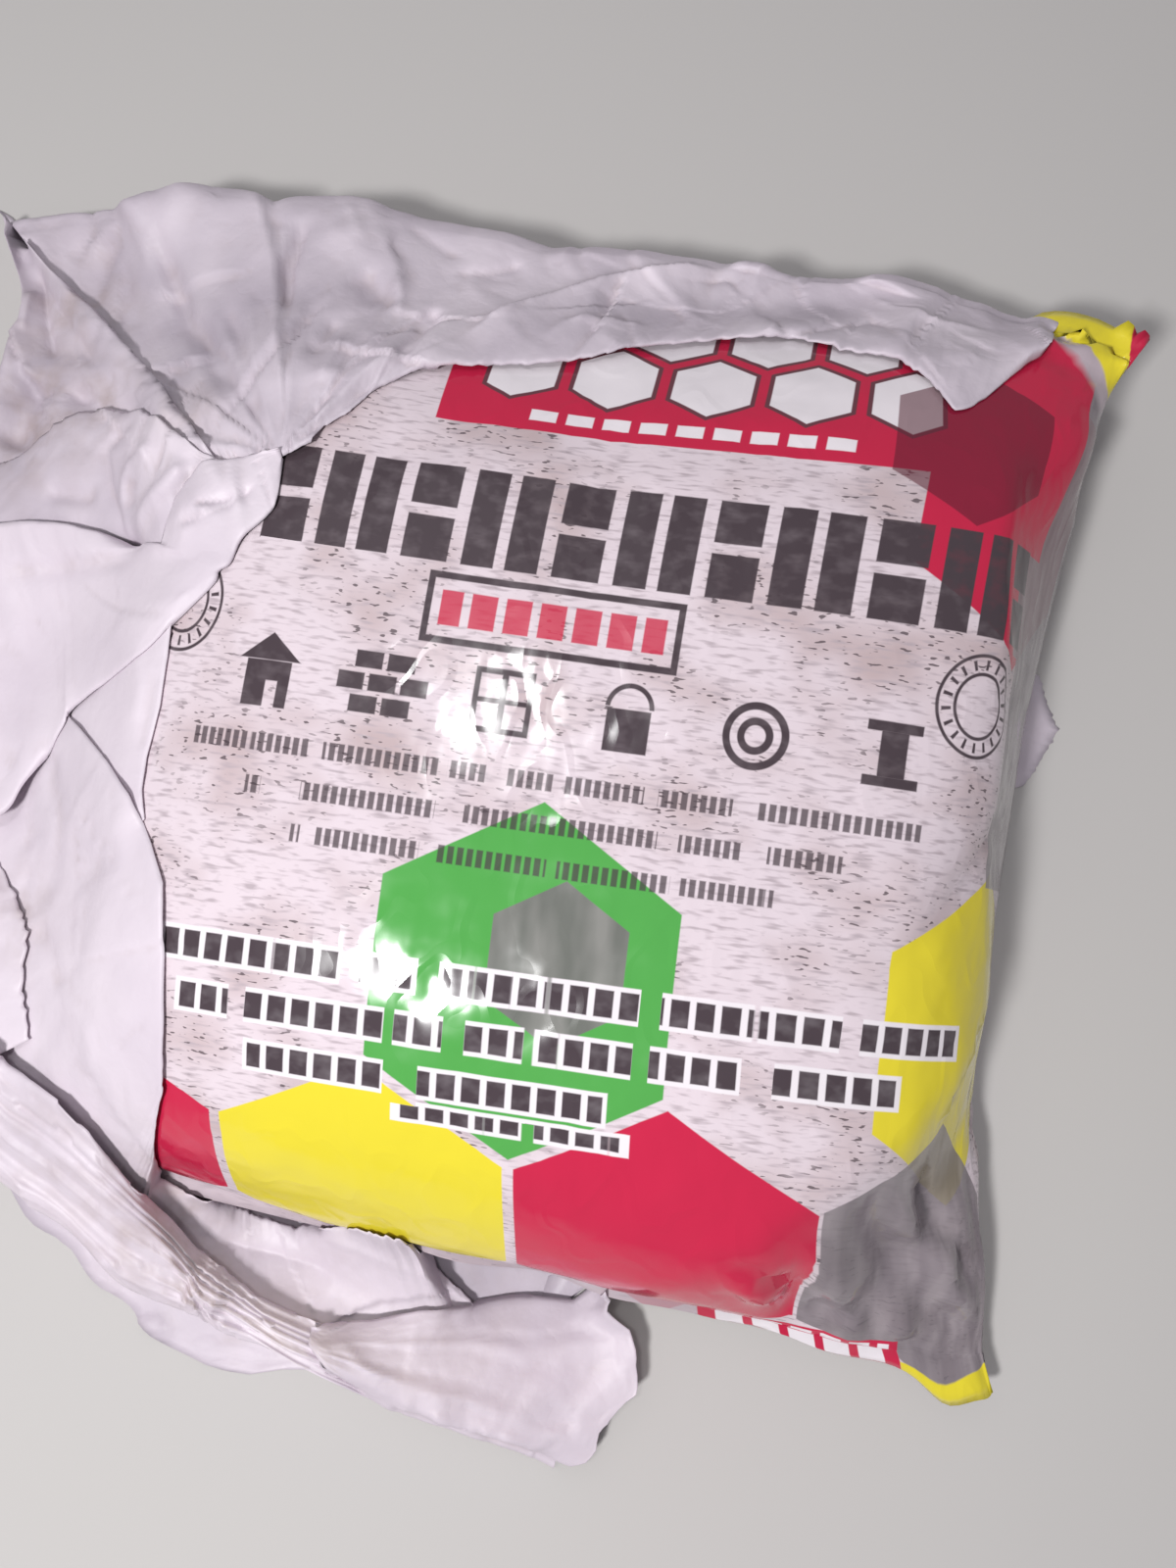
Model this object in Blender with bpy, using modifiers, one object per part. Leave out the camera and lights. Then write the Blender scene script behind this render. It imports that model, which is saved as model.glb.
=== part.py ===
"""Cement bag: a filled film pouch that lies flat in its torn white outer sack.

Metres, +Z up, +Y towards the top end of the print. The origin is on the flat
underside of the sack, below the middle of the pouch.
"""

import math

import bmesh
import bpy
from mathutils import Vector
from mathutils.bvhtree import BVHTree

# Filled pouch
POUCH_WIDTH = 0.300  # over the two right-hand and left-hand corners before they tuck in
POUCH_LENGTH = 0.320  # over both end seals
POUCH_HEIGHT = 0.0805  # top of the fill above the sheet that it lies on
SEAL_DEPTH = 0.008
SEAL_THICKNESS = 0.0014
RIGHT_DRAW_IN = 0.026  # how far the fill pulls the right side in at the middle
LEFT_DRAW_IN = 0.003
TOP_DRAW_IN = -0.005  # the top end stands out instead
LOWER_DRAW_IN = 0.003
RIGHT_EDGE_HEIGHT = 0.021  # the side fold at mid length
LEFT_EDGE_HEIGHT = 0.018
TOP_SEAL_HEIGHT = 0.012  # the end seals at mid width
LOWER_SEAL_HEIGHT = 0.020
SIDE_FULLNESS = 4.4  # how square the fill's section is, from a lens at 2 upwards
END_FULLNESS = 2.7
SHOULDER = 0.485  # how the fill rises from the outline, from 1, a wedge, to 0.3, upright
UNDERSIDE = 1.29  # how much fuller the side that lies on the floor is
SLACK = 0.72  # how much the fill keeps out of the low right-hand corner
SLACK_START = 1.38
SLACK_END = 1.48
OUTLINE_POWER = 2.35  # how evenly the fill draws each side in
EAR_HEIGHT = 0.039  # the corner that sticks up at the top right
EAR_DROP = 0.011  # the corner that hangs low at the bottom right
HIDDEN_CORNER_TUCK = 0.012  # top left corner, folded in below the sack
LOWER_CORNER_TUCK = 0.027  # bottom left corner, folded in below the sack
CORNER_HEIGHT = 0.011  # both of those corners

# Torn outer sack
SHEET = 0.0012
SACK_SPREAD = 0.060  # widest reach of the sack's fold past the side of the pouch
LIP_HEIGHT = 0.042  # tallest part of the fold
DRAPE_GAP = 0.0029  # from the pouch to the middle of the sheet that lies over it
FREE_EDGE_HEIGHT = 0.008  # the torn edge where it lies beside the pouch
RIGHT_BORDER_INSET = 0.032  # the border of the sheet below the pouch, from its right side
SCRAP_REACH = 0.034  # a torn scrap of that border that shows at the right side
SCRAP_PLACE = 0.043
SCRAP_WIDTH = 0.030

CLEARANCE = 0.0003  # between touching pieces

# Grid of each cage
POUCH_COLUMNS = 14
POUCH_ROWS = 14
STATIONS = 72
DRAPE_STEPS = 12

HALF_WIDTH = POUCH_WIDTH / 2
HALF_LENGTH = POUCH_LENGTH / 2
BED = SHEET + CLEARANCE

# Stations of the sack, from the top right corner round by the left to the bottom.
# Each gives a point on the pouch's outline as shares of half its width and length,
# the reach of the fold past it and the height of the lip as shares of SACK_SPREAD
# and LIP_HEIGHT, the torn edge as shares of half the pouch's width and length, how
# slack the sheet hangs between them, from 1, drawn straight, upwards, and how deep
# the hollow behind the lip is, as a share of the lip's height.
STATION_SHARES = (
    (0.82, 1.00, 0.22, 0.94, 0.79, 0.930, 4.0, 0.00),
    (0.76, 1.00, 0.22, 0.92, 0.62, 0.730, 4.0, 0.00),
    (0.60, 1.00, 0.28, 0.87, 0.48, 0.810, 4.0, 0.00),
    (0.42, 1.00, 0.25, 0.92, 0.29, 0.840, 4.0, 0.00),
    (0.21, 1.00, 0.23, 0.97, 0.00, 0.775, 4.0, 0.00),
    (-0.01, 1.00, 0.23, 0.97, -0.17, 0.700, 4.0, 0.00),
    (-0.20, 1.00, 0.19, 0.97, -0.38, 0.655, 4.0, 0.00),
    (-0.44, 1.00, 0.23, 0.97, -0.49, 0.560, 3.5, 0.00),
    (-0.60, 1.00, 0.30, 0.99, -0.54, 0.480, 3.5, 0.00),
    (-0.77, 1.00, 0.25, 0.87, -0.58, 0.460, 4.5, 0.00),
    (-0.86, 1.00, 0.27, 0.91, -0.61, 0.450, 4.5, 0.00),
    (-1.00, 0.97, 0.40, 0.76, -0.63, 0.450, 3.5, 0.10),
    (-1.00, 0.93, 0.62, 0.54, -0.64, 0.450, 2.4, 0.10),
    (-1.00, 0.87, 1.04, 0.40, -0.64, 0.450, 1.8, 0.00),
    (-1.00, 0.79, 0.83, 0.51, -0.62, 0.450, 1.5, 0.00),
    (-1.00, 0.67, 0.80, 0.54, -0.60, 0.450, 1.6, 0.00),
    (-1.00, 0.43, 0.92, 0.62, -0.58, 0.400, 1.2, 0.00),
    (-1.00, 0.30, 0.98, 0.67, -0.60, 0.320, 1.6, 0.00),
    (-1.00, 0.14, 0.88, 0.74, -0.66, 0.220, 2.0, 0.00),
    (-1.00, -0.12, 0.75, 0.69, -0.74, 0.130, 3.0, 0.00),
    (-1.00, -0.28, 0.67, 0.67, -0.73, 0.000, 3.2, 0.00),
    (-1.00, -0.44, 0.57, 0.56, -0.75, -0.140, 3.2, 0.00),
    (-1.00, -0.60, 0.47, 0.58, -0.72, -0.190, 3.6, 0.00),
    (-1.00, -0.75, 0.38, 0.71, -0.69, -0.215, 4.0, 0.00),
    (-1.00, -0.83, 0.22, 0.74, -0.66, -0.280, 5.0, 0.00),
    (-1.00, -0.90, 0.00, 0.76, -0.63, -0.390, 5.0, 0.00),
    (-0.93, -0.94, 0.00, 0.76, -0.63, -0.490, 5.0, 0.00),
    (-0.85, -0.97, 0.00, 0.72, -0.62, -0.620, 5.0, 0.00),
    (-0.76, -1.00, 0.07, 0.67, -0.66, -0.820, 3.0, 0.00),
    (-0.69, -1.00, 0.17, 0.60, -0.63, -0.850, 2.0, 0.15),
    (-0.50, -1.00, 0.25, 0.52, -0.50, -0.880, 1.2, 0.35),
    (-0.40, -1.00, 0.30, 0.51, -0.41, -0.885, 1.0, 0.50),
    (-0.23, -1.00, 0.45, 0.54, -0.17, -0.850, 1.0, 0.65),
    (-0.06, -1.00, 0.53, 0.47, 0.07, -0.940, 1.4, 0.65),
    (0.03, -1.00, 0.58, 0.38, 0.19, -0.960, 1.4, 0.50),
    (0.16, -1.00, 0.64, 0.29, 0.31, -1.020, 1.0, 0.20),
    (0.25, -1.00, 0.52, 0.24, 0.34, -1.060, 1.0, 0.00),
)


def clear_scene():
    for obj in list(bpy.data.objects):
        bpy.data.objects.remove(obj, do_unlink=True)


def new_collection(name):
    collection = bpy.data.collections.new(name)
    bpy.context.scene.collection.children.link(collection)
    return collection


def principled(name, colour, roughness):
    material = bpy.data.materials.new(name)
    material.use_nodes = True
    shader = material.node_tree.nodes["Principled BSDF"]
    shader.inputs["Base Color"].default_value = (*colour, 1.0)
    shader.inputs["Roughness"].default_value = roughness
    shader.inputs["Metallic"].default_value = 0.0
    return material


def add_object(collection, name, bm, material):
    mesh = bpy.data.meshes.new(name)
    bm.to_mesh(mesh)
    bm.free()
    mesh.shade_smooth()
    mesh.materials.append(material)
    obj = bpy.data.objects.new(name, mesh)
    collection.objects.link(obj)
    return obj


def smooth_step(low, high, value):
    t = min(1.0, max(0.0, (value - low) / (high - low)))
    return t * t * (3 - 2 * t)


# Pouch: outline, and the height of the fill above and below it

LOWER_TUCK = Vector((0.7, 1.0, 0.0)) * LOWER_CORNER_TUCK
HIDDEN_TUCK = Vector((1.0, -1.0, 0.0)) * HIDDEN_CORNER_TUCK
CORNERS = {
    (-1, -1): Vector((-HALF_WIDTH, -HALF_LENGTH, CORNER_HEIGHT)) + LOWER_TUCK,
    (1, -1): Vector((HALF_WIDTH, -HALF_LENGTH, EAR_DROP)),
    (-1, 1): Vector((-HALF_WIDTH, HALF_LENGTH, CORNER_HEIGHT)) + HIDDEN_TUCK,
    (1, 1): Vector((HALF_WIDTH, HALF_LENGTH, EAR_HEIGHT)),
}


def outline(start, end, along, draw_in, height):
    """A point on one side of the outline, drawn in by the fill, with along from -1 to 1."""
    a, b = CORNERS[start], CORNERS[end]
    point = a.lerp(b, (along + 1) / 2)
    full = 1 - abs(along) ** OUTLINE_POWER
    inward = Vector((-(start[0] + end[0]) / 2, -(start[1] + end[1]) / 2, 0))
    point += inward * draw_in * full
    point.z += (height - (a.z + b.z) / 2) * full
    return point


def rim_sheet(u, v):
    """The surface that spans the outline, u across and v along, each from -1 to 1."""
    low = outline((-1, -1), (1, -1), u, LOWER_DRAW_IN, LOWER_SEAL_HEIGHT)
    high = outline((-1, 1), (1, 1), u, TOP_DRAW_IN, TOP_SEAL_HEIGHT)
    left = outline((-1, -1), (-1, 1), v, LEFT_DRAW_IN, LEFT_EDGE_HEIGHT)
    right = outline((1, -1), (1, 1), v, RIGHT_DRAW_IN, RIGHT_EDGE_HEIGHT)
    flat = CORNERS[(-1, -1)].lerp(CORNERS[(1, -1)], (u + 1) / 2).lerp(
        CORNERS[(-1, 1)].lerp(CORNERS[(1, 1)], (u + 1) / 2), (v + 1) / 2
    )
    return low.lerp(high, (v + 1) / 2) + left.lerp(right, (u + 1) / 2) - flat


def fullness(u, v):
    """How full the pouch is, 0 at the outline and 1 in the middle."""
    across = max(0.0, 1 - abs(u) ** SIDE_FULLNESS) ** SHOULDER
    along = max(0.0, 1 - abs(v) ** END_FULLNESS) ** SHOULDER
    slack_corner = 1 - SLACK * smooth_step(SLACK_START, SLACK_END, u - v)
    return across * along * slack_corner


def pouch_point(u, v, seal_share, top):
    point = rim_sheet(u, v)
    body = fullness(u, max(-1.0, min(1.0, v / seal_share)))
    crown = POUCH_HEIGHT - rim_sheet(0, 0).z
    half_film = SEAL_THICKNESS / 2
    if top:
        point.z += crown * body + half_film
    else:
        point.z = max(0.0, point.z - crown * body * UNDERSIDE - half_film)
    point.z += BED
    return point


def build_pouch(collection, material):
    seal_share = 1 - SEAL_DEPTH / HALF_LENGTH
    bm = bmesh.new()
    bmesh.ops.create_grid(bm, x_segments=POUCH_COLUMNS, y_segments=POUCH_ROWS + 2, size=1.0)
    bm.verts.ensure_lookup_table()
    step = 2 / (POUCH_ROWS + 2)
    places = {}
    for vert in bm.verts:
        row = round((vert.co.y + 1) / step)
        if row in (0, POUCH_ROWS + 2):
            v = math.copysign(1.0, vert.co.y)
        else:
            v = seal_share * math.sin(math.pi / 2 * ((row - 1) / POUCH_ROWS * 2 - 1))
        places[vert] = (math.sin(math.pi / 2 * vert.co.x), v)
    lower = list(bm.verts)
    made = bmesh.ops.extrude_face_region(bm, geom=list(bm.faces))
    upper = [item for item in made["geom"] if isinstance(item, bmesh.types.BMVert)]
    near = {(round(v.co.x, 4), round(v.co.y, 4)): places[v] for v in lower}
    for vert in upper:
        u, v = near[(round(vert.co.x, 4), round(vert.co.y, 4))]
        vert.co = pouch_point(u, v, seal_share, True)
    for vert in lower:
        vert.co = pouch_point(*places[vert], seal_share, False)
    bmesh.ops.recalc_face_normals(bm, faces=bm.faces)
    pouch = add_object(collection, "printed_pouch", bm, material)
    smooth = pouch.modifiers.new("Soft form", "SUBSURF")
    smooth.levels = 1
    smooth.render_levels = 1
    return pouch


# Sack: one sheet from its border below the pouch, round a fold and over the pouch's rim


def at_station(share):
    """The station values at a place along the rim, from 0 to 1."""
    place = share * (len(STATION_SHARES) - 1)
    index = min(int(place), len(STATION_SHARES) - 2)
    part = place - index
    return [a + (b - a) * part for a, b in zip(STATION_SHARES[index], STATION_SHARES[index + 1])]


def fold_point(rim_x, rim_y, reach):
    outward = Vector((math.copysign(abs(rim_x) ** 7, rim_x), math.copysign(abs(rim_y) ** 7, rim_y)))
    rim = Vector((rim_x * HALF_WIDTH, rim_y * HALF_LENGTH))
    return rim + outward.normalized() * reach * SACK_SPREAD


def bed_point(fold):
    """Where the sheet comes out from below the pouch on its way to the fold."""
    a = HALF_WIDTH * 0.79
    b = HALF_LENGTH * 0.89
    size = (abs(fold.x / a) ** 8 + abs(fold.y / b) ** 8) ** 0.125
    return fold / size


def border_point(share):
    """The border of the sheet below the right side of the pouch, with its torn scrap."""
    y = HALF_LENGTH * 0.80 * (1 - 2 * share)
    x = HALF_WIDTH - RIGHT_BORDER_INSET
    x += SCRAP_REACH * max(0.0, 1 - abs(y - SCRAP_PLACE) / (SCRAP_WIDTH / 2))
    return Vector((x, y))


def height_over(tree, place, reach):
    """The highest point of the pouch within reach of a place."""
    best = 0.0
    for ring in (0.0, 0.5, 1.0):
        for turn in range(8 if ring else 1):
            angle = turn * math.pi / 4
            around = Vector((math.cos(angle), math.sin(angle))) * ring * reach
            start = Vector((place.x + around.x, place.y + around.y, 1.0))
            hit = tree.ray_cast(start, Vector((0, 0, -1)))
            if hit[0] is not None:
                best = max(best, hit[0].z)
    return best


def sack_profile(share, tree):
    """The section of the sheet at one station, from below the pouch to the torn edge."""
    rim_x, rim_y, reach, lip, torn_x, torn_y, slack, hollow = at_station(share)
    fold = fold_point(rim_x, rim_y, reach)
    bed = bed_point(fold)
    border = border_point(share)
    torn = Vector((torn_x * HALF_WIDTH, torn_y * HALF_LENGTH))
    floor = SHEET / 2
    radius = lip * LIP_HEIGHT / 2
    inward = (bed - fold).normalized()
    points = [border.lerp(bed, t).to_3d() for t in (0.0, 0.22, 0.48, 0.76, 1.0)]
    points.append(bed.lerp(fold + inward * radius * 1.2, 0.5).to_3d())
    for point in points:
        point.z = floor
    for angle in (-90, -50, -15, 20, 55, 90):
        turn = math.radians(angle)
        point = (fold + inward * radius * (1 - math.cos(turn))).to_3d()
        point.z = floor + radius * (1 + math.sin(turn))
        points.append(point)
    crest = (fold + inward * radius).copy()
    lip_top = floor + 2 * radius
    torn_top = max(FREE_EDGE_HEIGHT, height_over(tree, torn, DRAPE_GAP) + DRAPE_GAP)
    for step in range(1, DRAPE_STEPS + 1):
        along = step / DRAPE_STEPS
        place = crest.lerp(torn, along)
        tent = lip_top + (torn_top - lip_top) * along**slack
        tent -= hollow * lip_top * math.sin(math.pi * along**0.7)
        lying = height_over(tree, place, DRAPE_GAP) + DRAPE_GAP
        point = place.to_3d()
        point.z = max(tent, lying)
        points.append(point)
    return points


def build_sack(collection, material, pouch):
    graph = bpy.context.evaluated_depsgraph_get()
    tree = BVHTree.FromObject(pouch, graph)
    profiles = [sack_profile(i / STATIONS, tree) for i in range(STATIONS + 1)]
    bm = bmesh.new()
    bmesh.ops.create_grid(bm, x_segments=STATIONS, y_segments=len(profiles[0]) - 1, size=1.0)
    last = len(profiles[0]) - 1
    for vert in bm.verts:
        station = round((vert.co.x + 1) / 2 * STATIONS)
        row = round((vert.co.y + 1) / 2 * last)
        vert.co = profiles[station][row]
    bmesh.ops.recalc_face_normals(bm, faces=bm.faces)
    sack = add_object(collection, "outer_sack", bm, material)
    wall = sack.modifiers.new("Sheet thickness", "SOLIDIFY")
    wall.thickness = SHEET
    wall.offset = 0.0
    return sack


clear_scene()
parts = new_collection("cement_bag")
pouch_object = build_pouch(parts, principled("printed_film", (0.66, 0.55, 0.55), 0.30))
bpy.context.view_layer.update()
build_sack(parts, principled("white_sack", (0.82, 0.80, 0.83), 0.50), pouch_object)
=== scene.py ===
import math

import bmesh
import bpy
import numpy as np
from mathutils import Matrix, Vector, noise
from mathutils.bvhtree import BVHTree


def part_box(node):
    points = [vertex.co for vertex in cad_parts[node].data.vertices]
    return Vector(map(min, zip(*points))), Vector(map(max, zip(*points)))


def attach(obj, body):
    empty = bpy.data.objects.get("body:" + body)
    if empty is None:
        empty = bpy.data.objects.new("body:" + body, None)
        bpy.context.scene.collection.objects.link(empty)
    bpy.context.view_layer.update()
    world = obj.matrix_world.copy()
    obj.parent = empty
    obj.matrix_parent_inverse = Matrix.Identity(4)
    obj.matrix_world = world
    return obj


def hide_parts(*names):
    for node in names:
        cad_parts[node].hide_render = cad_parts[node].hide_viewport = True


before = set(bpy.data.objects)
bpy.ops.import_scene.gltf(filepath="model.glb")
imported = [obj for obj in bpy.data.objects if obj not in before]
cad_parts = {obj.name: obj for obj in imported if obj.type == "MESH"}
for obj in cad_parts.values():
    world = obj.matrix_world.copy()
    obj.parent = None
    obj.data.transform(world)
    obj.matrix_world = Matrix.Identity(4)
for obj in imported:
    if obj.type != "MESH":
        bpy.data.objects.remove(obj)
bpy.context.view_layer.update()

# Camera, floor and light. The bag is seen from almost straight above, turned a
# little clockwise, through a wide lens. A small key lamp stands at the lower left,
# a weaker one higher at the upper left, and a broad one fills the shadows.

FRAME_WIDTH = 1200
FRAME_HEIGHT = 1600
SENSOR_HEIGHT = 36.0
LENS = 28.125

camera_data = bpy.data.cameras.new("Camera")
camera_data.sensor_fit = "VERTICAL"
camera_data.sensor_height = SENSOR_HEIGHT
camera_data.lens = LENS
camera_data.clip_start = 0.01
camera = bpy.data.objects.new("Camera", camera_data)
camera.location = (0.01145, -0.03549, 0.38907)
camera.rotation_euler = (math.radians(6.0), 0.0, math.radians(8.5))
bpy.context.scene.collection.objects.link(camera)
bpy.context.scene.camera = camera

bpy.ops.object.select_all(action="DESELECT")
bpy.ops.mesh.primitive_plane_add(size=6.0, location=(0, 0, 0))
floor = bpy.context.active_object
floor.name = "floor"
floor_paint = bpy.data.materials.new("pale_floor")
floor_paint.use_nodes = True
floor_shader = floor_paint.node_tree.nodes["Principled BSDF"]
floor_shader.inputs["Base Color"].default_value = (0.50, 0.48, 0.47, 1)
floor_shader.inputs["Roughness"].default_value = 0.8
floor.data.materials.append(floor_paint)

for name, place, size, watts in (
    ("Key", (-0.25, -0.35, 0.80), 0.11, 6.3),
    ("Overhead", (-0.235, 0.235, 1.29), 0.12, 2.4),
    ("Fill", (-0.7, 0.9, 1.7), 1.4, 2.5),
):
    lamp = bpy.data.lights.new(name, "AREA")
    lamp.size = size
    lamp.energy = watts
    lamp_object = bpy.data.objects.new(name, lamp)
    lamp_object.location = place
    lamp_object.rotation_euler = Vector(place).to_track_quat("Z", "Y").to_euler()
    bpy.context.scene.collection.objects.link(lamp_object)

world = bpy.data.worlds.new("Studio")
world.use_nodes = True
sky = world.node_tree.nodes["Background"]
sky.inputs["Color"].default_value = (0.95, 0.95, 1.0, 1)
sky.inputs["Strength"].default_value = 0.30
bpy.context.scene.world = world
bpy.context.scene.view_settings.view_transform = "Standard"


# Pouch. A tube of printed laminate film, sealed flat across both ends and filled
# with cement, so that it stands plump, its long sides pull in and the film
# wrinkles where it has too much length. The film is laid out flat first.

FILM_WIDTH = 0.306
FILM_LENGTH = 0.336
FILM_COLUMNS = 92
FILM_ROWS = 98
POUCH_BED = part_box("printed_pouch")[0][2]
POUCH_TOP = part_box("printed_pouch")[1][2]
SEAL_BAND = 0.012
HALF_FILM = 0.0004
TOP_SPREAD = 0.012
STRETCHED_WIDTH = 1.028
STRETCHED_LENGTH = 1.045
PRINT_LEAN = 0.080
FILLING_STEPS = 20
LARGEST_SHIFT = 0.010

corner_places = {
    (-1, -1): Vector((-0.134, -0.134, 0.008)),
    (1, -1): Vector((0.150, -0.160, 0.005)),
    (-1, 1): Vector((-0.138, 0.150, 0.010)),
    (1, 1): Vector((0.151, 0.160, 0.034)),
}


def ease(low, high, value):
    """A smooth step from 0 at low to 1 at high."""
    t = min(1.0, max(0.0, (value - low) / (high - low)))
    return t * t * (3 - 2 * t)


def noise_at(points):
    return np.array([noise.noise(p) for p in points.reshape(-1, 3)]).reshape(points.shape[:-1])


def eased(value):
    """The same step from 0 to 1, for an array."""
    part = np.clip(value, 0, 1)
    return part * part * (3 - 2 * part)


def ridged(phase, seed):
    """Folds side by side, one for each whole number of the phase, each with its own size and lean."""
    fold = np.floor(phase)
    within = phase - fold
    folds, which = np.unique(fold, return_inverse=True)
    which = which.reshape(phase.shape)
    lean = np.array([0.22 + 0.56 * noise.cell(Vector((k, seed, 0.5))) for k in folds])[which]
    size = np.array([0.35 + 0.9 * noise.cell(Vector((k, seed, 7.5))) for k in folds])[which]
    wave = np.where(within < lean, within / lean, (1 - within) / (1 - lean))
    return (wave - 0.35) * size


def facets(x, y, size, seed):
    """Flat facets between straight hard creases, as in film that has been handled."""
    found = np.zeros_like(x)
    for k in range(4):
        turn = math.pi * (k / 4 + 0.2 * noise.cell(Vector((seed, k, 1.5))))
        reach = size * (1 + 0.35 * k)
        near = np.stack([x / (3 * size), y / (3 * size), np.full_like(x, seed * 3.7 + k)], axis=-1)
        phase = (x * math.cos(turn) + y * math.sin(turn)) / reach + 0.7 * noise_at(near)
        found += ridged(phase, seed + k) * eased(0.3 + 2.2 * noise_at(near * 1.7 + 31))
    return found


def pouch_side(start, end, along, draw_in, height, power=2.2):
    """A point on one side of the filled pouch's outline, with along from -1 to 1."""
    a, b = corner_places[start], corner_places[end]
    full = 1 - abs(along) ** power
    point = a.lerp(b, (along + 1) / 2)
    point.x -= (start[0] + end[0]) / 2 * draw_in * full
    point.y -= (start[1] + end[1]) / 2 * draw_in * full
    point.z += (height - (a.z + b.z) / 2) * full
    return point


def pouch_outline_sheet(u, v):
    """The curved sheet that spans the outline; the fill stands above and below it."""
    low = pouch_side((-1, -1), (1, -1), u, draw_in=0.004, height=0.009)
    high = pouch_side((-1, 1), (1, 1), u, draw_in=0.010, height=0.010)
    left = pouch_side((-1, -1), (-1, 1), v, draw_in=0.004, height=0.026)
    right = pouch_side((1, -1), (1, 1), v, draw_in=0.021, height=0.027, power=2.6)
    corners = corner_places[(-1, -1)].lerp(corner_places[(1, -1)], (u + 1) / 2).lerp(
        corner_places[(-1, 1)].lerp(corner_places[(1, 1)], (u + 1) / 2), (v + 1) / 2
    )
    point = low.lerp(high, (v + 1) / 2) + left.lerp(right, (u + 1) / 2) - corners
    point.y += TOP_SPREAD * ease(0.62, 1.0, v) * (1 - u**4)
    return point


def pouch_fullness(u, v):
    """How far the fill swells the film there, from 0 at the edges to 1."""
    across = max(0.0, 1 - abs(u) ** 3.0) ** 0.5
    along = max(0.0, 1 - abs(v) ** 3.6) ** 0.5
    slack_corner = 1 - 0.74 * ease(1.24, 1.62, u - v)
    return across * along * slack_corner


def arc_shares(section, count):
    """Where evenly spaced lines of the film come to lie along a section, from -1 to 1."""
    fine = 800
    places = [-1 + 2 * i / fine for i in range(fine + 1)]
    points = [section(p) for p in places]
    run = [0.0]
    for a, b in zip(points, points[1:]):
        run.append(run[-1] + (b - a).length)
    found, at = [], 0
    for i in range(count + 1):
        wanted = run[-1] * i / count
        while at < fine - 1 and run[at + 1] < wanted:
            at += 1
        part = (wanted - run[at]) / max(1e-9, run[at + 1] - run[at])
        found.append(places[at] + (places[at + 1] - places[at]) * part)
    return found


def pouch_surface(u, v, top):
    """A point on the upper or the lower film of the filled pouch."""
    point = pouch_outline_sheet(u, v)
    body = pouch_fullness(u, max(-1.0, min(1.0, v / (1 - SEAL_BAND / 0.16))))
    crown = POUCH_TOP - POUCH_BED - pouch_outline_sheet(0, 0).z
    if top:
        point.z += crown * body + HALF_FILM
    else:
        point.z = max(0.0, point.z - crown * body * 1.25 - HALF_FILM)
    point.z += POUCH_BED
    return point


column_shares = arc_shares(lambda p: pouch_surface(p, 0.0, True), FILM_COLUMNS)
row_shares = arc_shares(lambda p: pouch_surface(0.0, p, True), FILM_ROWS)

bpy.ops.object.select_all(action="DESELECT")
bpy.ops.mesh.primitive_grid_add(x_subdivisions=FILM_COLUMNS, y_subdivisions=FILM_ROWS, size=1.0)
pouch = bpy.context.active_object
pouch.name = "pouch_film"
bm = bmesh.new()
bm.from_mesh(pouch.data)
film_map = bm.loops.layers.uv.verify()
film_side = bm.verts.layers.int.new("film_side")
made = bmesh.ops.extrude_face_region(bm, geom=list(bm.faces))
for item in made["geom"]:
    if isinstance(item, bmesh.types.BMVert):
        item[film_side] = 1
        item.co.z = 2 * HALF_FILM
for face in bm.faces:
    back = all(v[film_side] == 0 for v in face.verts)
    for loop in face.loops:
        x, y = loop.vert.co.xy
        lean = PRINT_LEAN * ease(0.24, -0.30, y) * ease(-0.5, -0.36, y) * x * FILM_WIDTH / FILM_LENGTH
        loop[film_map].uv = (1.5 - x if back else x + 0.5, y + 0.5 - lean)
bmesh.ops.recalc_face_normals(bm, faces=bm.faces)


def mesh_order(part):
    """A number that puts the edges or faces in the same order in every run, by their vertices."""
    corners = [v.index for v in part.verts]
    return min(corners) * len(bm.verts) + max(corners)


# The extrusion makes its edges and faces in an order that differs from run to run, and
# the filling takes its springs in their order.
bm.verts.index_update()
bm.edges.sort(key=mesh_order)
bm.faces.sort(key=mesh_order)
bm.to_mesh(pouch.data)
sides = [v[film_side] for v in bm.verts]
bm.free()

laid_flat = pouch.shape_key_add(name="flat film")
filled = pouch.shape_key_add(name="filled")
flat_places = [0.0] * (3 * len(pouch.data.vertices))
pouch.data.vertices.foreach_get("co", flat_places)
start_places = []
for i in range(len(pouch.data.vertices)):
    x, y = flat_places[3 * i], flat_places[3 * i + 1]
    u = column_shares[round((x + 0.5) * FILM_COLUMNS)]
    v = row_shares[round((y + 0.5) * FILM_ROWS)]
    place = pouch_surface(u, v, sides[i] == 1)
    start_places.append(place.copy())
    filled.data[i].co = place
    laid_flat.data[i].co = (
        x * FILM_WIDTH * STRETCHED_WIDTH, y * FILM_LENGTH * STRETCHED_LENGTH, flat_places[3 * i + 2]
    )
filled.value = 1.0

# What lies on the floor stays in place while the rest fills out.
resting = pouch.vertex_groups.new(name="resting")
for i, place in enumerate(start_places):
    if sides[i] == 0 and place.z < POUCH_BED + 0.0006 and abs(flat_places[3 * i]) < 0.46:
        resting.add([i], 1.0, "REPLACE")

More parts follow.
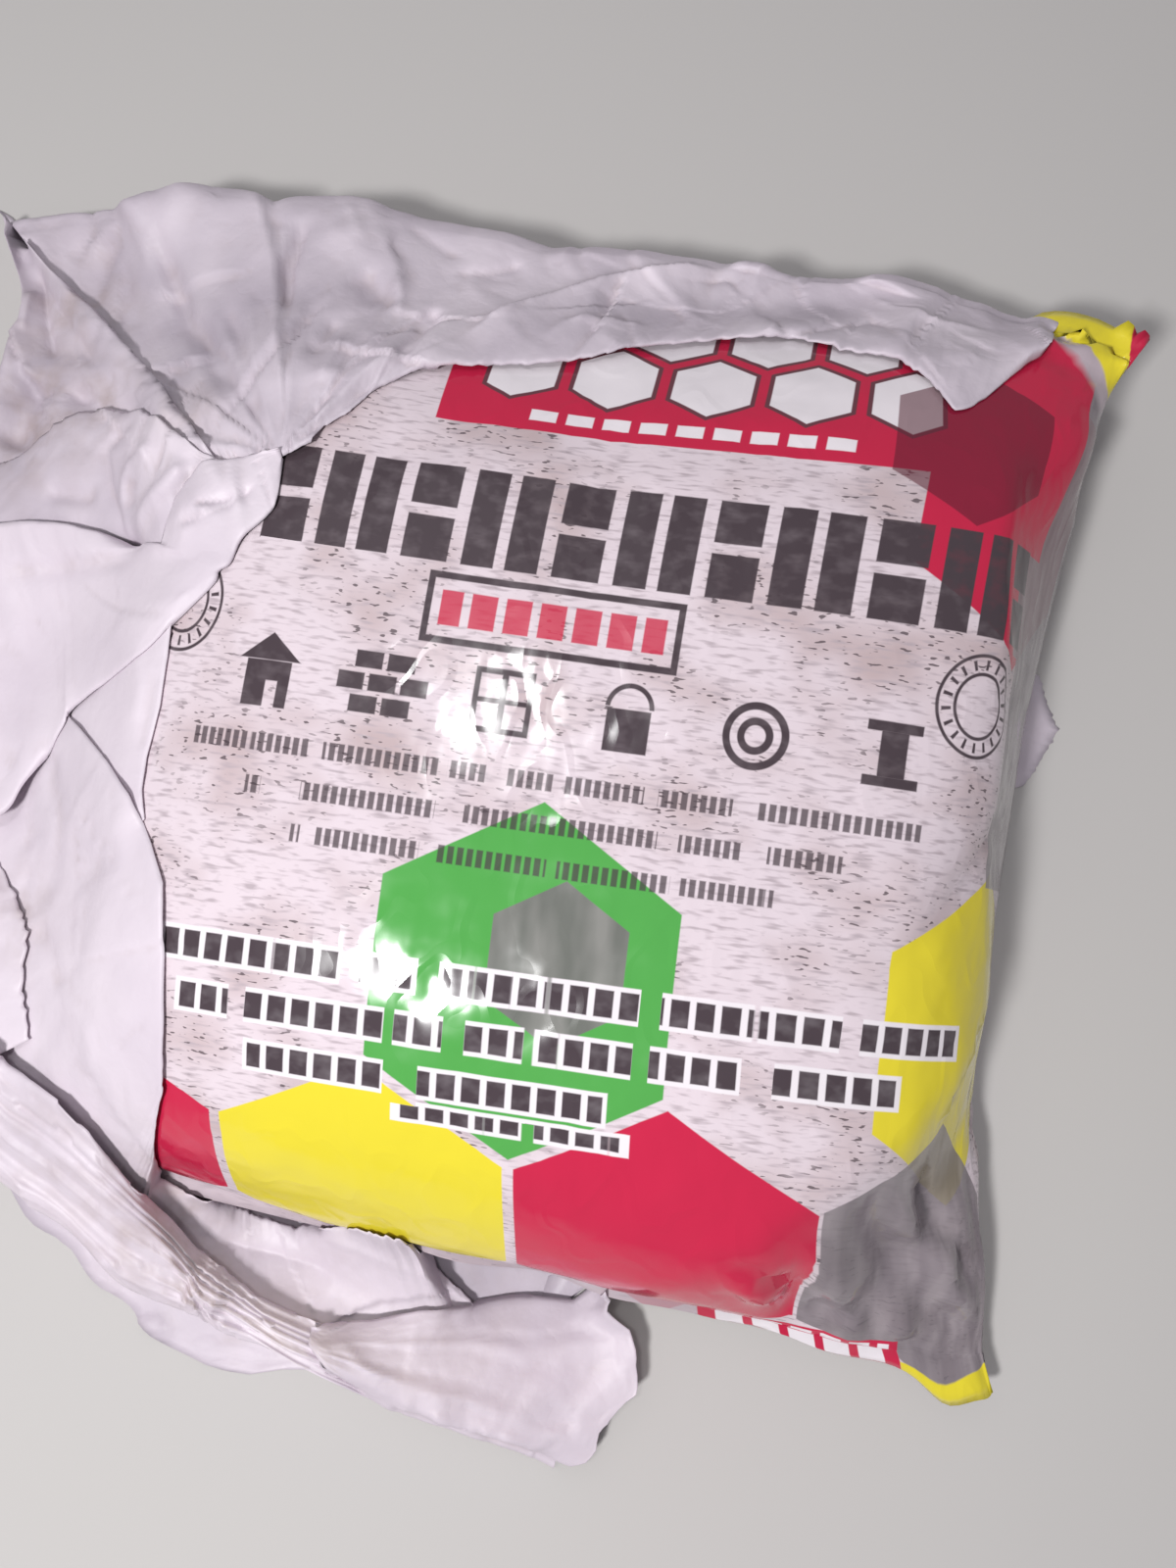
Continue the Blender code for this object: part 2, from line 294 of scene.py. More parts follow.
bpy.context.view_layer.objects.active = pouch
cloth = pouch.modifiers.new("Filling", "CLOTH")
settings = cloth.settings
settings.quality = 5
settings.mass = 0.02
settings.tension_stiffness = 30
settings.compression_stiffness = 30
settings.shear_stiffness = 15
settings.bending_stiffness = 0.02
settings.tension_damping = 8
settings.compression_damping = 8
settings.shear_damping = 8
settings.air_damping = 2
settings.use_pressure = True
settings.uniform_pressure_force = 3.0
settings.vertex_group_mass = "resting"
settings.rest_shape_key = laid_flat
settings.effector_weights.gravity = 0.0
cloth.collision_settings.use_collision = False
for step in range(FILLING_STEPS):
    bpy.context.scene.frame_set(step + 1)
graph = bpy.context.evaluated_depsgraph_get()
settled = [v.co.copy() for v in pouch.evaluated_get(graph).data.vertices]
pouch.modifiers.remove(cloth)
bpy.context.scene.frame_set(1)
pouch.shape_key_clear()
for i, vert in enumerate(pouch.data.vertices):
    shift = settled[i] - start_places[i]
    if shift.length > LARGEST_SHIFT:
        shift *= LARGEST_SHIFT / shift.length
    vert.co = start_places[i] + shift
    vert.co.z = max(vert.co.z, POUCH_BED)

# Creases that the filling doesn't give: small flat facets all over, wrinkles drawn
# across the lower middle, slack film at the lower right corner, a hard crease down
# the right side, waves in the lower end seal, a notch in the upper seal, and the
# top right corner, which stands up as a crumpled ear.

SIDE_CREASE = ((-0.030, 0.123), (0.0034, 0.114), (0.058, 0.100), (0.095, 0.094))
FACET_RELIEF = 0.0010
DRAWN_RELIEF = 0.0014
SLACK_RELIEF = 0.0100
SIDE_SPREAD = 0.0062
SIDE_TIGHTNESS = 0.9

pouch.data.update()
flat = np.array(flat_places).reshape(-1, 3)
film_x, film_y = flat[:, 0] * FILM_WIDTH, flat[:, 1] * FILM_LENGTH
across = np.array([column_shares[round((x + 0.5) * FILM_COLUMNS)] for x in flat[:, 0]])
along = np.array([row_shares[round((y + 0.5) * FILM_ROWS)] for y in flat[:, 1]])
rows = np.round((flat[:, 1] + 0.5) * FILM_ROWS).astype(int)
front = np.array(sides) == 1


def bump_at(place, middle, width):
    """A soft rise of one at a place on the flat film, which falls away over a width."""
    return np.exp(-(((place - middle) / width) ** 2))


body = eased((1 - np.abs(across)) / 0.10) * eased((0.94 - np.abs(along)) / 0.08) * front
raised = FACET_RELIEF * facets(film_x, film_y, 0.017, 2)
drawn = np.exp(-(((film_x - 0.008) / 0.045) ** 2) - ((film_y + 0.058) / 0.040) ** 2)
wander = noise_at(np.stack([film_x / 0.05, film_y / 0.05, np.full_like(film_x, 6.0)], axis=-1))
raised += DRAWN_RELIEF * ridged((0.80 * film_x - 0.60 * film_y) / 0.011 + 1.2 * wander, 3) * drawn
slack = eased((across - along - 1.12) / 0.36)
raised += SLACK_RELIEF * facets(film_x, film_y, 0.019, 5) * slack
places = np.array([v.co[:] for v in pouch.data.vertices])
places += np.array([v.normal[:] for v in pouch.data.vertices]) * (raised * body)[:, None]

# The right side stands out, and beyond its crease the film runs straight to the edge.
spread = eased((film_y + 0.150) / 0.05) * eased((0.115 - film_y) / 0.04)
places[:, 0] += SIDE_SPREAD * eased((across - 0.35) / 0.45) * spread
crease_at = np.interp(film_y, *zip(*SIDE_CREASE))
window = eased((film_y + 0.045) / 0.04) * eased((0.105 - film_y) / 0.04)
beyond = np.clip((film_x - crease_at) / (FILM_WIDTH / 2 - crease_at), 0, 1)
for row in range(FILM_ROWS + 1):
    of_row = np.flatnonzero((rows == row) & front & (film_x > 0))
    if window[of_row].max() == 0:
        continue
    of_row = of_row[np.argsort(film_x[of_row])]
    edge = np.flatnonzero((rows == row) & (flat[:, 0] > 0.4999))[0]
    outer = of_row[beyond[of_row] > 0]
    start = np.array([np.interp(crease_at[edge], film_x[of_row], places[of_row, k]) for k in range(3)])
    share = beyond[outer][:, None]
    straight = start * (1 - share) + places[edge] * share
    places[outer] += (straight - places[outer]) * (SIDE_TIGHTNESS * window[outer])[:, None]

# Lower end seal, with its waves, one corner that hangs down and one that turns up.
seal = eased((np.abs(along) - 0.90) / 0.05)
low_seal = seal * (along < 0) * eased((across + 0.5) / 0.3)
waves = np.stack([film_x / 0.020, film_y / 0.10, np.full_like(film_x, 4.0)], axis=-1)
places[:, 2] += 0.0036 * noise_at(waves) * low_seal
places[:, 1] += 0.0030 * noise_at(waves * 0.8 + 9) * low_seal
places[:, 1] -= 0.0050 * bump_at(film_x, 0.122, 0.011) * low_seal
places[:, 1] += 0.0030 * bump_at(film_x, 0.153, 0.009) * low_seal

# Top right corner: a raised ear with lumps and a tip, and a notch to the left of it.
ear = eased((across - 0.70) / 0.16) * eased((along - 0.86) / 0.06)
lumps = facets(film_x, film_y, 0.014, 8)
tip = eased((across + along - 1.84) / 0.16)
places[:, 2] += (0.0070 + 0.0080 * lumps) * ear + 0.0030 * tip
places[:, 0] -= 0.0005 * ear + 0.0012 * tip
places[:, 1] += (0.0004 + 0.0030 * lumps) * ear - 0.0050 * tip
notch = eased((across - 0.30) / 0.20) * eased((0.80 - across) / 0.12) * eased((along - 0.88) / 0.06)
places[:, 1] -= 0.0085 * notch
places[:, 2] -= 0.0045 * notch
for vert, place in zip(pouch.data.vertices, places):
    vert.co = (place[0], place[1], max(place[2], POUCH_BED))
pouch.data.shade_smooth()

# Print of the pouch: a honeycomb of coloured cells on a grey stone ground, with a
# header band, a course of upright bricks, small building signs and rows of plain
# blocks. It is inked below the clear film. Sizes are millimetres on the flat film.

STONE_LIGHT = (0.70, 0.60, 0.65, 1)
STONE_DARK = (0.44, 0.365, 0.40, 1)
STONE_BROWN = (0.46, 0.345, 0.35, 1)
FLECK = (0.10, 0.075, 0.085, 1)
INK = (0.065, 0.047, 0.056, 1)
RED = (0.54, 0.018, 0.062, 1)
SHADED_RED = (0.13, 0.012, 0.030, 1)
GREEN = (0.085, 0.36, 0.075, 1)
YELLOW = (0.74, 0.62, 0.035, 1)
PAPER_WHITE = (0.80, 0.74, 0.78, 1)
# The darker and the lighter grey of the painted shade patches on the print.
SHADE_PATCH_DARK = (0.165, 0.14, 0.155, 1)
SHADE_PATCH_LIGHT = (0.27, 0.235, 0.25, 1)
CLEAR_SEAL = (0.47, 0.39, 0.43, 1)
CELL_RADIUS = 42.0
CELL_ACROSS = 75.5
CELL_ROW = 65.4
MIDDLE_ROW = -56.0
SOFT_EDGE = 3.2


def join(tree, value, socket):
    """Link a socket to another, or set it to a number."""
    if isinstance(value, bpy.types.NodeSocket):
        tree.links.new(value, socket)
    else:
        socket.default_value = value


def work(tree, operation, *values, clamp=False):
    """A Math node on sockets or numbers."""
    node = tree.nodes.new("ShaderNodeMath")
    node.operation = operation
    node.use_clamp = clamp
    for value, socket in zip(values, node.inputs):
        join(tree, value, socket)
    return node.outputs[0]


def vector_work(tree, operation, *values):
    """A Vector Math node on sockets or triples; its output is the vector, or the number of a dot product."""
    node = tree.nodes.new("ShaderNodeVectorMath")
    node.operation = operation
    for value, socket in zip(values, node.inputs):
        join(tree, value, socket)
    return node.outputs["Value" if operation in ("DOT_PRODUCT", "LENGTH") else "Vector"]


def parts_of(tree, vector):
    split = tree.nodes.new("ShaderNodeSeparateXYZ")
    tree.links.new(vector, split.inputs[0])
    return split.outputs[0], split.outputs[1]


def above(tree, value, low, high, start=0.0, end=1.0):
    """start at low and end at high, in a straight line between."""
    node = tree.nodes.new("ShaderNodeMapRange")
    for socket, number in (("From Min", low), ("From Max", high), ("To Min", start), ("To Max", end)):
        node.inputs[socket].default_value = number
    join(tree, value, node.inputs["Value"])
    return node.outputs["Result"]


def tint(tree, share, below, over):
    """A Mix node that lays one colour over another, by a share."""
    node = tree.nodes.new("ShaderNodeMix")
    node.data_type = "RGBA"
    join(tree, share, node.inputs[0])
    join(tree, below, node.inputs[6])
    join(tree, over, node.inputs[7])
    return node.outputs[2]


def grains(tree, place, wide, high, detail=1.0, shift=0.0, dimensions="2D"):
    """Noise with grains of about the given width and height, in the units of place."""
    stretch = tree.nodes.new("ShaderNodeMapping")
    stretch.inputs["Scale"].default_value = (1 / wide, 1 / high, 1 / high)
    stretch.inputs["Location"].default_value = (shift, shift * 0.7, shift * 1.3)
    tree.links.new(place, stretch.inputs["Vector"])
    texture = tree.nodes.new("ShaderNodeTexNoise")
    texture.noise_dimensions = dimensions
    texture.inputs["Scale"].default_value = 1.0
    texture.inputs["Detail"].default_value = detail
    tree.links.new(stretch.outputs["Vector"], texture.inputs["Vector"])
    return texture.outputs["Fac"]


def node_group(name, inputs, outputs):
    """An empty shader group; inputs and outputs are pairs of a name and a kind of socket."""
    group = bpy.data.node_groups.new(name, "ShaderNodeTree")
    for way, sockets in (("INPUT", inputs), ("OUTPUT", outputs)):
        for socket, kind in sockets:
            group.interface.new_socket(socket, in_out=way, socket_type="NodeSocket" + kind)
    return group, group.nodes.new("NodeGroupInput").outputs, group.nodes.new("NodeGroupOutput").inputs


def print_shape(name, sizes):
    """A group for one kind of printed shape, and its place measured from the middle of the shape."""
    inputs = [("Place", "Vector"), ("Middle", "Vector"), ("Rim Width", "Float")]
    inputs += [(size, "Float") for size in sizes]
    group, enter, leave = node_group(name, inputs, [("Mask", "Float"), ("Rim", "Float")])
    return group, enter, leave, vector_work(group, "SUBTRACT", enter["Place"], enter["Middle"])


def inked(group, enter, leave, distance):
    """Ink where the distance is below 0, and a rim up to its width beyond that."""
    group.links.new(work(group, "MULTIPLY_ADD", distance, -SOFT_EDGE, 0.5, clamp=True), leave["Mask"])
    beyond = work(group, "SUBTRACT", distance, enter["Rim Width"])
    group.links.new(work(group, "MULTIPLY_ADD", beyond, -SOFT_EDGE, 0.5, clamp=True), leave["Rim"])


def largest(tree, *values):
    """The largest of some sockets; of masks, what any of them covers."""
    found = values[0]
    for value in values[1:]:
        found = work(tree, "MAXIMUM", found, value)
    return found


def past(group, value, size):
    """How far a value lies past a size, on either side of the middle."""
    return work(group, "SUBTRACT", work(group, "ABSOLUTE", value), size)


def from_nearest(group, enter, x):
    """How far x is from the nearest middle in a row of shapes that stand a pitch apart."""
    half_pitch = work(group, "MULTIPLY", enter["Pitch"], 0.5)
    return work(group, "PINGPONG", work(group, "ADD", x, enter["Shift"]), half_pitch)


slab, enter, leave, place = print_shape("printed_slab", ("Half Width", "Half Height"))
x, y = parts_of(slab, place)
inked(slab, enter, leave, largest(
    slab, past(slab, x, enter["Half Width"]), past(slab, y, enter["Half Height"])
))

block_row, enter, leave, place = print_shape(
    "printed_block_row", ("Half Width", "Half Height", "Pitch", "Half Span", "Shift")
)
x, y = parts_of(block_row, place)
inked(block_row, enter, leave, largest(
    block_row,
    work(block_row, "SUBTRACT", from_nearest(block_row, enter, x), enter["Half Width"]),
    past(block_row, x, enter["Half Span"]),
    past(block_row, y, enter["Half Height"]),
))

# A cell is a hexagon with a corner at its top, and COS_30 is its flat side's share of the radius.
COS_30 = 0.866
cell, enter, leave, place = print_shape("printed_cell", ("Radius",))
around = vector_work(cell, "ABSOLUTE", place)
to_side = largest(
    cell,
    vector_work(cell, "DOT_PRODUCT", around, (1, 0, 0)),
    vector_work(cell, "DOT_PRODUCT", around, (0.5, COS_30, 0)),
)
inked(cell, enter, leave, work(cell, "MULTIPLY_ADD", enter["Radius"], -COS_30, to_side))

cell_row, enter, leave, place = print_shape("printed_cell_row", ("Radius", "Pitch", "Half Span", "Shift"))
x, y = parts_of(cell_row, place)
within = from_nearest(cell_row, enter, x)
height = work(cell_row, "MULTIPLY", work(cell_row, "ABSOLUTE", y), COS_30)
to_side = largest(cell_row, within, work(cell_row, "MULTIPLY_ADD", within, 0.5, height))
inked(cell_row, enter, leave, largest(
    cell_row,
    work(cell_row, "MULTIPLY_ADD", enter["Radius"], -COS_30, to_side),
    past(cell_row, x, enter["Half Span"]),
))

ring, enter, leave, place = print_shape("printed_ring", ("Radius", "Half Line"))
outwards = work(ring, "SUBTRACT", vector_work(ring, "LENGTH", place), enter["Radius"])
inked(ring, enter, leave, past(ring, outwards, enter["Half Line"]))

# A dial is two circles with short marks between them.
DIAL_MARKS = 18
MARK_REACH = 1.2
dial, enter, leave, place = print_shape("printed_dial", ("Radius", "Half Gap", "Half Line"))
x, y = parts_of(dial, place)
outwards = work(dial, "SUBTRACT", vector_work(dial, "LENGTH", place), enter["Radius"])
from_middle = work(dial, "ABSOLUTE", outwards)
from_circle = past(dial, work(dial, "SUBTRACT", from_middle, enter["Half Gap"]), enter["Half Line"])
turn = work(dial, "FRACT", work(dial, "MULTIPLY", work(dial, "ARCTAN2", y, x), DIAL_MARKS / 2 / math.pi))
mark = work(dial, "MULTIPLY_ADD", work(dial, "ABSOLUTE", work(dial, "SUBTRACT", turn, 0.5)), 4.0, -0.5)
marks = largest(dial, mark, work(dial, "SUBTRACT", from_middle, MARK_REACH))
inked(dial, enter, leave, work(dial, "MINIMUM", from_circle, marks))

roof, enter, leave, place = print_shape("printed_roof", ("Half Width", "Rise"))
x, y = parts_of(roof, place)
slope = work(roof, "DIVIDE", enter["Rise"], enter["Half Width"])
lean = work(roof, "MULTIPLY", work(roof, "ABSOLUTE", x), slope)
inked(roof, enter, leave, largest(
    roof, work(roof, "MULTIPLY", y, -1.0), work(roof, "SUBTRACT", work(roof, "ADD", lean, y), enter["Rise"])
))

# Stone ground, with dark flecks that lie along the print.
stone, enter, leave = node_group("stone_ground", [("Place", "Vector")], [("Color", "Color")])
mottle = grains(stone, enter["Place"], 30, 22, 2)
streaks = grains(stone, enter["Place"], 6, 1.1, 1, 4.0)
chips = above(stone, grains(stone, enter["Place"], 3.2, 0.95, 1, 2.0), 0.66, 0.71, 0.0, 0.86)
shade = tint(stone, above(stone, mottle, 0.44, 0.78, 0.0, 0.8), STONE_LIGHT, STONE_BROWN)
shade = tint(stone, above(stone, streaks, 0.52, 0.78, 0.0, 0.9), shade, STONE_DARK)
clustered = work(stone, "MULTIPLY", chips, above(stone, mottle, 0.45, 0.59, 0.08, 1.0))
stone.links.new(tint(stone, clustered, shade, FLECK), leave["Color"])

# Share of ink left on the film, where it has been rubbed.
ink_wear, enter, leave = node_group("ink_wear", [("Place", "Vector")], [("Share", "Float")])
smudge = grains(ink_wear, enter["Place"], 6, 4, 2, 5.0)
ink_wear.links.new(above(ink_wear, smudge, 0.85, 0.45, 0.90, 1.0), leave["Share"])

# Painted shade: dark mottled grey patches laid over the print where the film lies in shade.
shade_patch, enter, leave = node_group("painted_shade_patch", [("Place", "Vector")], [("Color", "Color")])
lumps = above(shade_patch, grains(shade_patch, enter["Place"], 8, 24, 2, 3.0), 0.35, 0.75)
shade_patch.links.new(tint(shade_patch, lumps, SHADE_PATCH_DARK, SHADE_PATCH_LIGHT), leave["Color"])

# Gloss of the laminate, its fine crinkles and its dull rubbed spots.
gloss, enter, leave = node_group(
    "laminate_gloss", [("Place", "Vector")], [("Roughness", "Float"), ("Normal", "Vector")]
)
rubbed = grains(gloss, enter["Place"], 16, 12, 2, 13.0)
gloss.links.new(above(gloss, rubbed, 0.42, 0.75, 0.11, 0.27), leave["Roughness"])
ridges = work(gloss, "ABSOLUTE", work(gloss, "SUBTRACT", grains(gloss, enter["Place"], 15, 21, 1, 17.0), 0.5))
crinkle = above(gloss, ridges, 0.0, 0.10, 0.0, -0.20)
height = work(gloss, "MULTIPLY_ADD", grains(gloss, enter["Place"], 8, 11, 1, 19.0), 0.55, crinkle)
bump = gloss.nodes.new("ShaderNodeBump")
bump.inputs["Strength"].default_value = 0.42
bump.inputs["Distance"].default_value = 0.001
gloss.links.new(height, bump.inputs["Height"])
gloss.links.new(bump.outputs["Normal"], leave["Normal"])


class FilmPrint:
    """The finish of one zone of the film, with its inks laid one over another."""

    def __init__(self, name):
        self.material = bpy.data.materials.new(name)
        self.material.use_nodes = True
        self.tree = self.material.node_tree
        flat = self.tree.nodes.new("ShaderNodeUVMap")
        flat.uv_map = "UVMap"
        millimetres = self.tree.nodes.new("ShaderNodeMapping")
        millimetres.inputs["Scale"].default_value = (FILM_WIDTH * 1000, FILM_LENGTH * 1000, 1)
        millimetres.inputs["Location"].default_value = (-FILM_WIDTH * 500, -FILM_LENGTH * 500, 0)
        self.tree.links.new(flat.outputs["UV"], millimetres.inputs["Vector"])
        self.place = millimetres.outputs["Vector"]
        self.colour = self.shape(stone)["Color"]
        shader = self.tree.nodes["Principled BSDF"]
        shader.inputs["Specular IOR Level"].default_value = 0.36
        finish = self.shape(gloss)
        for socket in ("Roughness", "Normal"):
            self.tree.links.new(finish[socket], shader.inputs[socket])
        self.shader = shader

    def shape(self, group, x=0.0, y=0.0, **sizes):
        """A shape with its middle at x, y, or a finish; the result is its outputs."""
        node = self.tree.nodes.new("ShaderNodeGroup")
        node.node_tree = group
        self.tree.links.new(self.place, node.inputs["Place"])
        if "Middle" in node.inputs:
            node.inputs["Middle"].default_value = (x, y, 0)
        for size, value in sizes.items():
            node.inputs[size.replace("_", " ").title()].default_value = value
        return node.outputs

    def mask(self, group, x, y, **sizes):
        return self.shape(group, x, y, **sizes)["Mask"]

    def slabs(self, *boxes):
        """Plain slabs, each as the place of its middle, its half width and its half height."""
        return self.either(*(self.mask(slab, x, y, half_width=w, half_height=h) for x, y, w, h in boxes))

    def blocks(self, x, y, half_width, half_height, pitch, half_span, shift=0.0):
        """A row of like blocks along x, a pitch apart, with its middle at x, y."""
        return self.mask(block_row, x, y, half_width=half_width, half_height=half_height, pitch=pitch,
                         half_span=half_span, shift=shift)

    def either(self, *masks):
        return largest(self.tree, *masks)

    def both(self, *masks):
        found = masks[0]
        for mask in masks[1:]:
            found = work(self.tree, "MULTIPLY", found, mask)
        return found

    def without(self, mask, cut):
        return work(self.tree, "SUBTRACT", mask, cut, clamp=True)

    def cells(self, *places, radius=CELL_RADIUS):
        return self.either(*(self.mask(cell, x, y, radius=radius) for x, y in places))

    def line_gaps(self, pitch, first, grain=7.5):
        """Gaps between the words of a block of lines, whose lowest line is centred at first."""
        x, y = parts_of(self.tree, self.place)
        from_first = work(self.tree, "SUBTRACT", y, first)
        line = work(self.tree, "ROUND", work(self.tree, "DIVIDE", from_first, pitch))
        seat = self.tree.nodes.new("ShaderNodeCombineXYZ")
        self.tree.links.new(work(self.tree, "DIVIDE", x, grain), seat.inputs[0])
        self.tree.links.new(work(self.tree, "MULTIPLY", line, 5.37), seat.inputs[1])
        texture = self.tree.nodes.new("ShaderNodeTexNoise")
        texture.noise_dimensions = "2D"
        texture.inputs["Scale"].default_value = 1.0
        texture.inputs["Detail"].default_value = 0.0
        self.tree.links.new(seat.outputs[0], texture.inputs["Vector"])
        return above(self.tree, texture.outputs["Fac"], 0.36, 0.375)

    def ink(self, mask, paint, share=1.0):
        if share != 1.0:
            mask = self.both(mask, share)
        self.colour = tint(self.tree, mask, self.colour, paint)

    def finish(self):
        self.tree.links.new(self.colour, self.shader.inputs["Base Color"])
        return self.material


FIRST_ROW = MIDDLE_ROW - CELL_ROW
LAST_ROW = MIDDLE_ROW + 2 * CELL_ROW
RED_RIGHT = (CELL_ACROSS * 1.5, LAST_ROW)
YELLOW_RIGHT = (121, MIDDLE_ROW - 2)
# Places of the painted shade patches: a cell at the lower right, the lower right corner and a spot in the
# green cell.
SHADED_CELL = (CELL_ACROSS * 1.5, FIRST_ROW)
SHADED_CELL_RADIUS = 44
SHADED_CORNER = (142, -142, 24, 34)
SHADED_SPOT = (8, -50)
SHADED_SPOT_RADIUS = 19

# Upper end of the film: the header band with white paving cells, and a heading of
# upright bricks with pairs of flat ones between them.
header = FilmPrint("printed_film_header")
header.ink(header.either(header.slabs((41.5, 115, 86.5, 37)), header.cells(RED_RIGHT)), RED)
for y, half_span, shift in ((100.5, 57, 0.0), (122, 45, 12.5)):
    paver = header.shape(
        cell_row, 22, y, radius=11.6, pitch=25, half_span=half_span, shift=shift, rim_width=1.2
    )
    header.ink(paver["Rim"], INK, 0.85)
    header.ink(paver["Mask"], PAPER_WHITE)
header.ink(header.blocks(19, 83.3, half_width=3.4, half_height=1.9, pitch=9.3, half_span=42), PAPER_WHITE)
# Painted shade: a darker cell on the red band.
header.ink(header.mask(cell, 90, 90, radius=25), SHADED_RED, 0.72)
# Painted shade down the shaded right side of the film, in the grey of the shade patches.
shaded_side = header.slabs((150, 120, 22.5, 58), (150, 40, 38, 23))
header.ink(shaded_side, header.shape(shade_patch)["Color"], 0.9)
bricks = header.either(*(
    header.blocks(12, y, half_width, half_height, pitch=38, half_span=106, shift=shift)
    for y, half_width, half_height, shift in (
        (51, 4.1, 12.6, 0.0), (51, 4.1, 12.6, -11), (58, 5.9, 5.6, 13.5), (44, 5.9, 5.6, 13.5)
    )
))
header.ink(bricks, INK, header.shape(ink_wear)["Share"])
# The top right corner is crossed by slanting stripes, told by x + y.
corner_run = work(header.tree, "ADD", *parts_of(header.tree, header.place))
for begins, full, paint in ((246, 252, CLEAR_SEAL), (261, 263, YELLOW), (301, 302, RED)):
    header.ink(above(header.tree, corner_run, begins, full), paint)

# Middle of the film: a framed box with red blocks, a row of building signs between
# two dials, and three fine lines of blocks.
middle = FilmPrint("printed_film_middle")
middle.ink(middle.cells(RED_RIGHT), RED)
middle.ink(middle.cells((0, MIDDLE_ROW)), GREEN)
middle.ink(middle.cells(YELLOW_RIGHT), YELLOW)
# Painted shade: a spot in the green cell and a strip down the right side.
window = middle.either(middle.cells(SHADED_SPOT, radius=SHADED_SPOT_RADIUS), middle.slabs((150, 14, 33, 34)))
middle.ink(window, middle.shape(shade_patch)["Color"], 0.9)
box_frame = middle.without(middle.slabs((-5, 27.5, 32, 8.6)), middle.slabs((-5, 27.5, 30.3, 6.9)))
middle.ink(middle.blocks(-5, 27.5, half_width=3.2, half_height=4.2, pitch=8.6, half_span=28), RED, 0.9)
door = middle.slabs((-72.5, 1.5, 1.6, 3.2))
panes = middle.either(*(
    middle.blocks(-14, y, 2.6, 2.8, pitch=6.8, half_span=6.1, shift=3.4) for y in (4.0, 10.8)
))
signs = middle.either(
    box_frame,
    middle.mask(roof, -74, 9.5, half_width=8.5, rise=6.5),
    middle.without(middle.slabs((-74, 4, 6.2, 5.4)), door),
    middle.blocks(-44, 7.5, 3.5, 2.0, pitch=8.2, half_span=11.4),
    *(middle.blocks(-44, y, 3.5, 2.0, pitch=8.2, half_span=8.0, shift=4.1) for y in (2.3, 12.7)),
    middle.without(middle.slabs((-14, 7.4, 7.4, 7.6)), panes),
    middle.slabs((17, 4.6, 5.4, 5.0)),
    middle.both(middle.mask(ring, 17, 9.8, radius=5.4, half_line=0.6), middle.slabs((17, 14, 9, 4))),
    *(middle.mask(ring, 48, 7.5, radius=radius, half_line=0.9) for radius in (7.0, 3.4)),
    middle.slabs((79, 7.5, 3.2, 5.4)),
    middle.without(middle.slabs((79, 7.5, 6.5, 7.6)), middle.slabs((79, 7.5, 7, 5.2))),
    middle.mask(dial, -103, 21.5, radius=9.8, half_gap=2.2, half_line=0.42),
    middle.mask(dial, 99.5, 22, radius=9.8, half_gap=2.2, half_line=0.42),
)
middle.ink(signs, INK, middle.shape(ink_wear)["Share"])
FINE_PITCH = 9.65
FINE_LOWEST = -28.8
lines = middle.either(*(
    middle.blocks(-2, FINE_LOWEST + row * FINE_PITCH, 0.78, 2.0, pitch=2.35, half_span=half_span)
    for row, half_span in ((2, 90), (1, 73), (0, 59))
))
middle.ink(middle.both(lines, middle.line_gaps(FINE_PITCH, FINE_LOWEST)), INK, 0.84)

# Lower end of the film: the coloured cells, four lines of larger blocks with a
# white rim, and the strip along the end seal.
foot = FilmPrint("printed_film_foot")
foot.ink(foot.cells((CELL_ACROSS / 2, FIRST_ROW), (-CELL_ACROSS * 1.5, FIRST_ROW)), RED)
foot.ink(foot.cells((0, MIDDLE_ROW)), GREEN)
foot.ink(foot.cells((-CELL_ACROSS / 2, FIRST_ROW), YELLOW_RIGHT), YELLOW)
# Painted shade: the lower right cell, the lower right corner and a spot in the green cell.
window = foot.either(
    foot.cells(SHADED_CELL, radius=SHADED_CELL_RADIUS),
    foot.cells(SHADED_SPOT, radius=SHADED_SPOT_RADIUS),
    foot.slabs(SHADED_CORNER),
)
foot.ink(window, foot.shape(shade_patch)["Color"], 0.9)
word_gaps = foot.line_gaps(12.3, -94.0, 9.0)
block_wear = foot.shape(ink_wear)["Share"]
for x, y, half_span, half_height in (
    (8, -57.0, 103, 3.1), (2, -69.3, 88, 3.1), (-22, -81.7, 44, 3.1), (0, -89.6, 28, 1.8)
):
    line = foot.shape(block_row, x, y, half_width=2.25, half_height=half_height, pitch=6.1,
                      half_span=half_span, rim_width=1.1)
    foot.ink(foot.both(line["Rim"], word_gaps), PAPER_WHITE)
    foot.ink(foot.both(line["Mask"], word_gaps, block_wear), INK)
foot.ink(foot.slabs((-22, -160, 127, 6)), CLEAR_SEAL, 0.7)
foot.ink(foot.slabs((77, -157.5, 28, 9.5)), RED)
end_blocks = foot.either(
    foot.blocks(77, -161.5, 3.6, 2.9, pitch=9.8, half_span=25),
    foot.blocks(77, -153.2, 2.9, 3.0, pitch=8.2, half_span=25),
)
foot.ink(end_blocks, PAPER_WHITE)
foot.ink(foot.slabs((130, -166, 25, 4.5)), YELLOW)

# Back of the film: the same cells run on round the right edge.
back = FilmPrint("printed_film_back")
back.ink(back.slabs((65, 122, 104, 37)), RED)
back.ink(back.cells(YELLOW_RIGHT, (CELL_ACROSS * 3.5, FIRST_ROW)), YELLOW)
back.ink(back.cells((CELL_ACROSS * 4, MIDDLE_ROW)), GREEN)
# Painted shade at the lower right and down the right edge.
window = back.either(back.cells(SHADED_CELL, radius=SHADED_CELL_RADIUS), back.slabs(SHADED_CORNER, (150, 74, 21, 94)))
back.ink(window, back.shape(shade_patch)["Color"], 0.9)

